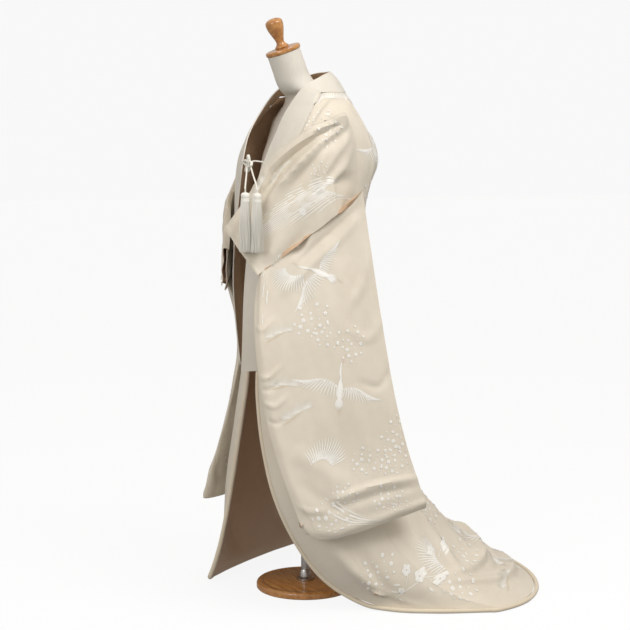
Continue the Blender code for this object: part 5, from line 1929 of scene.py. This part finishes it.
@dataclass(frozen=True)
class Floss:
    """Satin stitch or cord silk: stitches run across each strip."""

    name: str
    light: Colour
    deep: Colour
    roughness: float
    stitches: float = 26.0

    def material(self, groups: Groups) -> bpy.types.Material:
        """The finish as a material, with stitches by the strip's own places and painted shade towards each
        strip's edges.

        Args:
            groups: The shared effects.

        Returns:
            The material.
        """
        made = bpy.data.materials.new(self.name)
        made.use_nodes = True
        g, shader = Graph(made.node_tree), made.node_tree.nodes["Principled BSDF"]
        body = g.node("ShaderNodeTexCoord").outputs["Object"]
        split = g.node("ShaderNodeSeparateXYZ", {0: g.node("ShaderNodeUVMap", uv_map="cloth").outputs[0]})
        slant = g.math("ADD", g.math("MULTIPLY", split.outputs[1], self.stitches),
                       g.math("MULTIPLY", g.math("ABSOLUTE", split.outputs[0]), 2.2))
        stitch = g.math("SINE", g.math("MULTIPLY", slant, 2 * math.pi))
        tone = g.node("ShaderNodeGroup", {}, node_tree=groups.tone)
        g.tree.links.new(body, tone.inputs[0])
        # Painted shade: the colour darkens towards each strip's two edges, where the padded satin slopes down
        # to the cloth.
        edge = g.spread(g.math("ABSOLUTE", split.outputs[0]), 0.35, 1.0, 0.0, 0.8)
        share = g.math("ADD", g.spread(tone.outputs[0], 0.35, 0.65, 0.0, 0.3), g.math("MULTIPLY", edge, 0.6))
        g.tree.links.new(g.mix(share, (*self.light, 1), (*self.deep, 1)), shader.inputs["Base Color"])
        bump = g.node("ShaderNodeBump", {"Height": stitch, "Distance": 0.00025, "Strength": 0.5})
        g.tree.links.new(bump.outputs[0], shader.inputs["Normal"])
        shader.inputs["Roughness"].default_value = self.roughness
        shader.inputs["Sheen Weight"].default_value = 0.1
        return made


@dataclass(frozen=True)
class Solid:
    """A plain hard or spun finish with a grain along one direction."""

    name: str
    light: Colour
    deep: Colour
    roughness: float
    grain: tuple[float, float, float]
    metallic: float = 0.0
    relief: float = 0.0001
    coat: float = 0.0

    def material(self) -> bpy.types.Material:
        """The finish as a material.

        Returns:
            The material.
        """
        made = bpy.data.materials.new(self.name)
        made.use_nodes = True
        g, shader = Graph(made.node_tree), made.node_tree.nodes["Principled BSDF"]
        body = g.node("ShaderNodeTexCoord").outputs["Object"]
        drawn = g.node("ShaderNodeMapping", {0: body, 3: self.grain}).outputs[0]
        streak = g.noise(drawn, 1.0, 5.0)
        share = g.spread(streak, 0.36, 0.64)
        g.tree.links.new(g.mix(share, (*self.light, 1), (*self.deep, 1)), shader.inputs["Base Color"])
        g.tree.links.new(g.spread(streak, 0.3, 0.7, self.roughness - 0.05, self.roughness + 0.07),
                         shader.inputs["Roughness"])
        bump = g.node("ShaderNodeBump", {"Height": streak, "Distance": self.relief, "Strength": 0.5})
        g.tree.links.new(bump.outputs[0], shader.inputs["Normal"])
        shader.inputs["Metallic"].default_value = self.metallic
        shader.inputs["Coat Weight"].default_value = self.coat
        return made


class Palette:
    """Every finish of the piece, made once."""

    def __init__(self) -> None:
        """Make the materials."""
        groups = Groups()
        self.brocade, self.collar, self.lining, self.roll, self.linen = (kind.material(groups) for kind in (
            Fabric("cream brocade", (0.76, 0.69, 0.575), (0.66, 0.585, 0.465), 0.38),
            Fabric("collar brocade", (0.72, 0.675, 0.59), (0.64, 0.59, 0.50), 0.38),
            Fabric("peach lining", (0.62, 0.43, 0.28), (0.54, 0.36, 0.22), 0.48, thread=0.0008),
            Fabric("padded hem silk", (0.76, 0.67, 0.52), (0.68, 0.58, 0.43), 0.46, own_places=False),
            Fabric("linen", (0.74, 0.70, 0.62), (0.64, 0.59, 0.50), 0.85, thread=0.0016, relief=0.0005,
                   sheen=0.05, own_places=False)))
        self.satin = [
            Floss("white satin", (0.96, 0.94, 0.89), (0.84, 0.80, 0.71), 0.30).material(groups),
            Floss("pearl satin", (0.90, 0.865, 0.785), (0.76, 0.70, 0.59), 0.32).material(groups),
            Floss("straw satin", (0.72, 0.62, 0.46), (0.60, 0.50, 0.35), 0.36).material(groups),
            Floss("shell satin", (0.78, 0.66, 0.54), (0.64, 0.53, 0.42), 0.36).material(groups)]
        self.silk, self.binding, self.wood, self.steel = (kind.material() for kind in (
            Solid("tassel silk", (0.90, 0.88, 0.82), (0.80, 0.77, 0.69), 0.45, (300, 300, 20)),
            Solid("tassel binding", (0.90, 0.88, 0.82), (0.78, 0.75, 0.67), 0.45, (60, 60, 900)),
            Solid("turned wood", (0.56, 0.27, 0.085), (0.38, 0.155, 0.040), 0.30, (14, 90, 90), coat=0.5),
            Solid("brushed steel", (0.62, 0.61, 0.60), (0.52, 0.51, 0.50), 0.30, (30, 30, 900),
                  metallic=1.0)))


# What lies where

LEFT_ROBE_CREASES = (
    Crease(((1.95, 13.5), (1.72, 13.95), (1.42, 14.2), (1.16, 14.2)), 0.019, 0.018, 0.3),
    Crease(((1.12, 14.45), (1.36, 14.9), (1.66, 15.2), (1.9, 15.3)), 0.016, 0.016, -0.3),
    Crease(((1.90, 14.3), (1.66, 14.6), (1.40, 14.7)), -0.012, 0.015),
    Crease(((1.55, 12.4), (1.60, 13.2), (1.70, 13.8)), 0.014, 0.022, -0.2),
    Crease(((1.84, 12.6), (1.86, 13.2), (1.90, 13.8)), -0.008, 0.022, 0.1),
    Crease(((1.36, 12.6), (1.30, 13.4), (1.22, 14.0)), 0.013, 0.018),
    Crease(((1.08, 12.8), (1.00, 13.6), (0.86, 14.6)), 0.008, 0.024, 0.2),
    Crease(((0.70, 13.0), (0.62, 13.8), (0.46, 14.8)), -0.007, 0.020),
    Crease(((0.88, 0.95), (0.66, 1.7), (0.46, 2.5)), 0.0060, 0.009, 0.3),
    Crease(((1.00, 1.15), (0.84, 1.8), (0.66, 2.5)), 0.0050, 0.008, 0.2),
    Crease(((0.74, 0.9), (0.52, 1.5), (0.30, 2.2)), -0.0035, 0.008),
    Crease(((1.12, 0.7), (1.30, 1.6), (1.42, 2.8)), 0.0055, 0.010, -0.2),
    Crease(((1.22, 0.9), (1.44, 2.2), (1.52, 3.8)), -0.0045, 0.010),
    Crease(((1.32, 3.0), (1.40, 4.2), (1.42, 5.4)), 0.0050, 0.009),
    Crease(((1.55, 2.4), (1.60, 3.8), (1.58, 5.6)), 0.0040, 0.011),
    Crease(((0.30, 2.0), (0.36, 4.0), (0.40, 7.0)), 0.004, 0.018),
    Crease(((1.35, 6.2), (1.45, 8.0), (1.50, 10.5)), 0.007, 0.024),
    Crease(((1.72, 6.0), (1.76, 8.4), (1.74, 11.2)), 0.006, 0.022),
)
RIGHT_ROBE_CREASES = (
    Crease(((1.20, 12.9), (1.12, 14.1), (1.02, 15.4)), 0.011, 0.032, -0.2),
    Crease(((1.50, 13.0), (1.44, 14.2), (1.36, 15.5)), 0.010, 0.030, 0.2),
    Crease(((1.84, 12.4), (1.80, 14.0), (1.72, 15.6)), 0.010, 0.034),
    Crease(((1.64, 13.0), (1.58, 14.4), (1.52, 15.5)), -0.008, 0.022),
    Crease(((1.18, 0.6), (1.42, 2.0), (1.58, 3.8)), 0.004, 0.017),
    Crease(((0.55, 0.8), (0.48, 2.4), (0.40, 4.8)), 0.004, 0.016),
    Crease(((0.28, 2.4), (0.34, 4.6), (0.40, 7.6)), -0.004, 0.018),
    Crease(((1.32, 6.0), (1.40, 8.2), (1.46, 11.0)), 0.006, 0.022),
    Crease(((1.66, 6.4), (1.72, 8.8), (1.70, 11.6)), 0.005, 0.024),
    Crease(((0.30, 10.0), (0.30, 12.4), (0.26, 15.0)), 0.005, 0.022),
)
LEFT_SLEEVE_CREASES = (
    Crease(((0.4, 0.55), (2.3, 1.25), (4.4, 1.65), (6.1, 1.65), (7.6, 1.3)), 0.0150, 0.013, 0.5),
    Crease(((0.9, 1.3), (2.9, 2.1), (5.0, 2.5), (7.2, 2.3)), -0.0090, 0.015),
    Crease(((0.3, 1.15), (2.86, 3.1), (5.2, 4.0), (6.8, 4.3), (8.4, 4.8)), 0.0170, 0.014, 0.5),
    Crease(((1.1, 2.3), (3.4, 4.2), (5.8, 5.1), (8.4, 6.0)), -0.0095, 0.016),
    Crease(((0.6, 2.6), (1.8, 4.6), (3.2, 6.2)), 0.0045, 0.009),
    Crease(((0.5, 3.8), (1.2, 6.2), (1.9, 8.4)), 0.0050, 0.011),
    Crease(((3.7, 6.8), (5.6, 7.0), (7.8, 8.3), (10.0, 9.6)), 0.0100, 0.030),
    Crease(((5.4, 9.0), (7.6, 10.6), (10.2, 12.0)), -0.0070, 0.020),
    Crease(((0.9, 13.7), (2.2, 13.85), (4.8, 14.02), (7.0, 14.25)), -0.0065, 0.009, 0.2),
    Crease(((1.1, 14.1), (3.0, 14.35), (5.4, 14.55), (8.0, 14.9)), 0.0055, 0.012),
    Crease(((0.5, 15.0), (1.4, 15.6), (2.6, 15.9)), 0.0050, 0.014),
    Crease(((11.7, 16.85), (10.5, 16.9), (9.3, 16.75)), 0.0045, 0.0055),
    Crease(((11.7, 17.15), (10.6, 17.2), (9.7, 17.1)), -0.0040, 0.0050),
    Crease(((11.7, 17.50), (10.4, 17.6), (9.2, 17.45)), 0.0045, 0.0060),
    Crease(((11.7, 17.95), (10.7, 18.0), (9.9, 17.95)), -0.0035, 0.0055),
    Crease(((11.5, 15.6), (10.5, 15.7), (9.4, 15.55)), 0.0035, 0.0060),
    Crease(((0.2, 17.4), (1.4, 17.65), (2.8, 17.5)), -0.0045, 0.010),
    Crease(((0.2, 16.4), (1.6, 16.7), (3.0, 16.4)), 0.0040, 0.014),
    Crease(((7.0, 19.95), (5.0, 19.85), (3.2, 19.8), (0.3, 19.85)), 0.0085, 0.010, 0.3),
    Crease(((7.6, 20.35), (5.0, 20.2), (3.0, 20.15), (0.8, 20.2)), -0.0060, 0.013),
    Crease(((9.8, 18.7), (7.8, 19.1), (5.8, 19.7)), 0.0065, 0.026),
    Crease(((10.0, 19.5), (8.2, 20.0), (6.6, 20.5)), -0.0055, 0.022),
    Crease(((11.2, 20.5), (9.8, 20.45), (8.4, 20.35)), 0.0045, 0.007),
    Crease(((2.9, 14.8), (3.6, 17.0), (3.3, 19.2)), 0.0085, 0.045),
    Crease(((11.55, 0.4), (11.5, 6.6), (11.5, 12.6)), 0.0024, 0.0045),
    Crease(((8.6, 15.0), (8.0, 17.0), (8.4, 18.6)), -0.0050, 0.040),
)
INNER_SLEEVE_CREASES = (
    Crease(((2.0, 15.0), (5.0, 15.6), (9.0, 15.2)), 0.005, 0.022),
    Crease(((2.5, 21.4), (5.5, 21.0), (9.0, 21.2)), 0.005, 0.022),
)
RIGHT_SLEEVE_CREASES = (
    Crease(((1.4, 1.4), (6.0, 3.4), (11.0, 5.2)), 0.007, 0.018, -0.2),
    Crease(((1.4, 2.6), (6.0, 5.4), (11.0, 7.8)), -0.007, 0.017),
    Crease(((1.6, 3.8), (6.0, 7.6), (10.6, 10.0)), 0.008, 0.020),
    Crease(((2.5, 14.2), (5.0, 15.2), (8.5, 15.0)), 0.006, 0.024),
    Crease(((2.0, 18.0), (5.5, 18.8), (9.0, 18.2)), -0.006, 0.022),
    Crease(((7.0, 21.0), (9.2, 20.4), (11.0, 19.6)), 0.005, 0.018),
)
LEFT_SLEEVE_FIGURES = (
    Placed(Motif.CRANE, 5.0, 14.9, 0.78, 150), Placed(Motif.CRANE, 4.6, 17.55, 0.86, 78),
    Placed(Motif.CLUSTER, 6.4, 15.9, 1.0, 30), Placed(Motif.CLUSTER, 5.2, 16.35, 0.8, -20),
    Placed(Motif.CLUSTER, 3.2, 16.75, 0.9, 70), Placed(Motif.CLUSTER, 0.9, 18.75, 0.9, 80),
    Placed(Motif.CLUSTER, 3.8, 19.15, 0.9, 10), Placed(Motif.CLUSTER, 1.7, 19.3, 0.9, 30),
    Placed(Motif.CLUSTER, 8.5, 20.95, 1.0, -28), Placed(Motif.CLUSTER, 3.2, 20.45, 0.8, 20),
    Placed(Motif.CLUSTER, 2.4, 21.1, 0.5, 0), Placed(Motif.CLUSTER, 6.4, 19.9, 0.7, -30),
    Placed(Motif.PINE, 9.3, 16.0, 0.9, 10), Placed(Motif.PINE, 9.6, 17.2, 0.9, -8),
    Placed(Motif.PINE, 8.8, 17.9, 1.0, 16), Placed(Motif.PLUME, 7.6, 14.5, 0.8, 140),
    Placed(Motif.PLUME, 7.4, 19.0, 0.9, -20), Placed(Motif.MIST, 6.0, 21.3, 0.7, -10),
    Placed(Motif.BLOSSOM, 5.6, 7.6, 0.8), Placed(Motif.CLUSTER, 2.2, 2.2, 0.7, 60),
    Placed(Motif.CLUSTER, 9.6, 12.4, 0.6, 30), Placed(Motif.PINE, 8.2, 2.6, 0.9, 60),
    Placed(Motif.PINE, 6.4, 3.2, 0.9, 50), Placed(Motif.CLUSTER, 3.4, 5.2, 0.5, 40),
    Placed(Motif.PLUME, 1.6, 7.6, 0.7, 70), Placed(Motif.CLUSTER, 10.2, 6.0, 0.6, 50),
)
RIGHT_SLEEVE_FIGURES = (
    Placed(Motif.CRANE, 5.0, 15.0, 0.85, -30, True), Placed(Motif.CRANE, 5.6, 18.2, 0.95, -70, True),
    Placed(Motif.CLUSTER, 7.8, 16.2, 1.0, 30), Placed(Motif.CLUSTER, 3.0, 16.6, 0.9, 70),
    Placed(Motif.CLUSTER, 1.6, 18.6, 0.9, 60), Placed(Motif.CLUSTER, 8.6, 20.4, 1.0, 20),
    Placed(Motif.CLUSTER, 3.4, 20.2, 0.9, 0), Placed(Motif.PINE, 9.2, 17.8, 1.0, -10),
    Placed(Motif.PLUME, 7.0, 13.8, 0.9, 30, True), Placed(Motif.PLUME, 6.4, 20.4, 0.9, 20, True),
    Placed(Motif.CLUSTER, 2.4, 2.4, 0.7, 60), Placed(Motif.CLUSTER, 6.4, 6.4, 0.8, 30),
    Placed(Motif.SPRAY, 4.4, 9.0, 0.7, -40), Placed(Motif.PINE, 7.8, 2.8, 0.9, -60),
    Placed(Motif.CLUSTER, 9.8, 9.4, 0.7, 30),
)
INNER_SLEEVE_FIGURES = (
    Placed(Motif.CRANE, 6.0, 16.6, 0.9, 40), Placed(Motif.CLUSTER, 7.6, 15.0, 1.0, 10),
    Placed(Motif.CLUSTER, 4.0, 18.4, 1.0, 60), Placed(Motif.CLUSTER, 8.2, 19.4, 1.0, 30),
    Placed(Motif.PLUME, 4.4, 20.6, 0.9, 10), Placed(Motif.PINE, 3.4, 15.2, 1.0, 20),
)
LEFT_ROBE_FIGURES = (
    Placed(Motif.PLUME, 0.60, 0.75, 0.8, 10), Placed(Motif.CLUSTER, 0.36, 1.9, 0.7, 40),
    Placed(Motif.PLUME, 1.30, 1.0, 0.9, -30), Placed(Motif.PLUME, 1.62, 1.5, 1.0, -50),
    Placed(Motif.CRANE, 1.62, 3.9, 0.9, 84), Placed(Motif.PLUME, 1.45, 3.4, 0.8, -80),
    Placed(Motif.CLUSTER, 1.40, 5.6, 1.0, 80), Placed(Motif.CLUSTER, 1.75, 6.0, 1.0, 20),
    Placed(Motif.CRANE, 1.55, 8.2, 1.0, 30), Placed(Motif.CLUSTER, 1.80, 9.0, 1.1, 10),
    Placed(Motif.SPRAY, 1.40, 10.0, 1.0, 14), Placed(Motif.CLUSTER, 1.64, 10.6, 1.1, 60),
    Placed(Motif.CRANE, 1.70, 12.4, 1.0, -16, True), Placed(Motif.CLUSTER, 1.46, 12.6, 1.1, 10),
    Placed(Motif.CLUSTER, 1.90, 12.9, 1.0, 0), Placed(Motif.PLUME, 1.62, 13.5, 1.0, 20),
    Placed(Motif.CLUSTER, 1.38, 13.9, 1.1, 30), Placed(Motif.CRANE, 1.66, 14.6, 1.0, 20),
    Placed(Motif.PLUME, 1.16, 13.7, 1.0, 60), Placed(Motif.CLUSTER, 1.06, 14.7, 1.2, 20),
    Placed(Motif.SPRAY, 0.86, 14.3, 1.0, 20), Placed(Motif.CLUSTER, 0.62, 13.9, 1.0, 40),
    Placed(Motif.PINE, 1.34, 15.2, 1.2, 8), Placed(Motif.CLUSTER, 1.88, 15.2, 1.1, 0),
    Placed(Motif.SPRAY, 0.60, 4.2, 0.7, 70), Placed(Motif.CRANE, 0.60, 8.4, 0.8, 50),
    Placed(Motif.CLUSTER, 0.62, 11.0, 1.0, 20), Placed(Motif.CLUSTER, 0.66, 6.2, 0.9, 60),
    Placed(Motif.PLUME, 0.64, 12.6, 1.0, 10),
)
RIGHT_ROBE_FIGURES = (
    Placed(Motif.PLUME, 1.35, 0.9, 1.0, 20, True), Placed(Motif.PLUME, 1.60, 1.3, 1.1, 40, True),
    Placed(Motif.SPRAY, 1.62, 4.6, 1.0, -10), Placed(Motif.CRANE, 1.50, 7.0, 1.1, -30, True),
    Placed(Motif.MIST, 1.6, 8.8, 1.0, -6), Placed(Motif.SPRAY, 1.60, 10.4, 1.2, 14),
    Placed(Motif.CRANE, 1.42, 12.4, 1.3, -10), Placed(Motif.SPRAY, 1.72, 13.0, 1.3, 20),
    Placed(Motif.CRANE, 1.66, 14.6, 1.2, 12, True), Placed(Motif.PINE, 1.30, 14.2, 1.3, -8),
    Placed(Motif.BLOSSOM, 1.12, 13.6, 1.6), Placed(Motif.PLUME, 0.55, 1.2, 1.0, -30, True),
    Placed(Motif.SPRAY, 0.55, 4.4, 0.7, -70), Placed(Motif.CRANE, 0.62, 8.8, 0.8, -50, True),
    Placed(Motif.SPRAY, 0.66, 11.4, 1.0, -20), Placed(Motif.CRANE, 0.62, 13.4, 1.0, -10),
    Placed(Motif.BLOSSOM, 0.6, 14.9, 1.5),
)


# Room and camera

@dataclass(frozen=True)
class Studio:
    """Pale floor, soft light and the camera; metres and watts."""

    target: tuple[float, float, float] = (0.0, 0.035, 0.84)
    distance: float = 4.3
    azimuth: float = 60.0
    camera_height: float = 1.27
    lens: float = 81.1
    floor_reach: float = 60.0
    floor_drop: float = 0.0005
    room_light: Colour = (0.62, 0.59, 0.555)

    def lamp(self, name: str, place: tuple[float, float, float], size: float, watts: float) -> None:
        """A square lamp that faces the middle of the robe.

        Args:
            name: The lamp's name.
            place: Where it hangs.
            size: Breadth of its square, in metres.
            watts: Its power.
        """
        light = bpy.data.lights.new(name, "AREA")
        light.shape, light.size, light.energy = "SQUARE", size, watts
        thing = bpy.data.objects.new(name, light)
        thing.location = place
        thing.rotation_euler = self.looking(place)
        bpy.context.scene.collection.objects.link(thing)

    def looking(self, place: Sequence[float]) -> tuple[float, float, float]:
        """Turns that make something at a place face the middle of the robe."""
        dx, dy, dz = (goal - here for goal, here in zip(self.target, place))
        return (math.atan2(math.hypot(dx, dy), -dz), 0.0, math.atan2(dy, dx) - math.pi / 2)

    def floor_paint(self) -> bpy.types.Material:
        """Pale paint that is as bright as the room, so that no edge of the floor shows.

        Returns:
            The paint.
        """
        paint = bpy.data.materials.new("floor paint")
        paint.use_nodes = True
        shader = paint.node_tree.nodes["Principled BSDF"]
        shader.inputs["Base Color"].default_value = (0.10, 0.10, 0.10, 1)
        shader.inputs["Roughness"].default_value = 1.0
        shader.inputs["Specular IOR Level"].default_value = 0.0
        shader.inputs["Emission Color"].default_value = (1, 1, 1, 1)
        g = Graph(paint.node_tree)
        seen = g.node("ShaderNodeLightPath").outputs["Is Camera Ray"]
        g.tree.links.new(g.spread(seen, 0.0, 1.0, 0.25, 0.89), shader.inputs["Emission Strength"])
        return paint

    def build(self) -> None:
        """Floor, light, surroundings and camera."""
        corners = np.array([(-1.0, -1.0, 0.0), (1.0, -1.0, 0.0), (1.0, 1.0, 0.0), (-1.0, 1.0, 0.0)])
        floor = build_object("floor", corners * self.floor_reach - (0, 0, self.floor_drop),
                             [np.array([[0, 1, 2, 3]])], [self.floor_paint()])
        self.lamp("top_lamp", (2.4, 0.5, 3.9), 1.8, 84.0)
        self.lamp("front_lamp", (2.4, -4.4, 2.8), 2.0, 74.0)
        world = bpy.data.worlds.new("pale room")
        world.use_nodes = True
        g = Graph(world.node_tree)
        seen = g.node("ShaderNodeLightPath").outputs["Is Camera Ray"]
        g.tree.links.new(g.mix(seen, (*self.room_light, 1), (0.94, 0.94, 0.94, 1)),
                         world.node_tree.nodes["Background"].inputs["Color"])
        scene = bpy.context.scene
        scene.world = world
        scene.view_settings.view_transform = "Standard"
        angle = math.radians(self.azimuth)
        place = (self.target[0] + math.sin(angle) * self.distance,
                 self.target[1] - math.cos(angle) * self.distance, self.camera_height)
        view = bpy.data.cameras.new("view")
        view.lens, view.sensor_width = self.lens, 36.0
        camera = bpy.data.objects.new("view", view)
        camera.location, camera.rotation_euler = place, self.looking(place)
        scene.collection.objects.link(camera)
        scene.camera = camera


def main() -> None:
    """Build the robe panel by panel, then the form, the tie and the room."""
    logging.basicConfig(level=logging.INFO, format="%(message)s")
    finishes = Palette()
    cloth, collar_cloth = [finishes.brocade, finishes.lining], [finishes.collar, finishes.lining]
    robes = {side: Robe(side, creases) for side, creases in
             ((Side.LEFT, LEFT_ROBE_CREASES), (Side.RIGHT, RIGHT_ROBE_CREASES))}
    left, right = robes[Side.LEFT], robes[Side.RIGHT]
    band, band_out = Collar().middle(left, right, np.array([0.0, 0.35, 0.72, 1.0]), 17, 19)
    sleeve_plans = {
        Side.LEFT: (LEFT_SLEEVE, 7.0, LEFT_SLEEVE_CREASES, LEFT_SLEEVE_FIGURES),
        Side.RIGHT: (RIGHT_SLEEVE, 1.0, RIGHT_SLEEVE_CREASES, RIGHT_SLEEVE_FIGURES)}
    robe_figures = {Side.LEFT: LEFT_ROBE_FIGURES, Side.RIGHT: RIGHT_ROBE_FIGURES}
    for side, robe in robes.items():
        body = robe.body(cloth)
        okumi = robe.okumi(cloth)
        lining = robe.lining([finishes.lining, finishes.lining])
        HemRoll().build(robe, finishes.roll)
        figures = embroider(f"body_{side.word}_figures", robe.panel, robe_figures[side], finishes.satin)
        q, ring = np.meshgrid(np.linspace(0, 2, 90), np.linspace(0, LAST_RING, 120))
        half = band[..., 0] * side.value > 0
        cloud = (np.concatenate([robe.panel.plain(q, ring).reshape(-1, 3), band[half]]),
                 np.concatenate([robe.panel.facing(q, ring).reshape(-1, 3), band_out[half]]))
        table, rise, creases, placed = sleeve_plans[side]
        sleeve = Sleeve(SleeveCut(side, table, rise), robe, cloud, (creases, INNER_SLEEVE_CREASES))
        bag = sleeve.build(cloth)
        bag_figures = embroider(f"sleeve_{side.word}_figures", sleeve.outer, placed, finishes.satin)
        inside_figures = embroider(f"sleeve_{side.word}_inner_figures", sleeve.inner, INNER_SLEEVE_FIGURES,
                                   finishes.satin)
    Collar().build(left, right, collar_cloth)
    DressForm().build(finishes.linen, finishes.wood, finishes.steel)
    FrontTie().build(finishes.silk, finishes.binding)
    Studio().build()


if __name__ == "__main__":
    main()
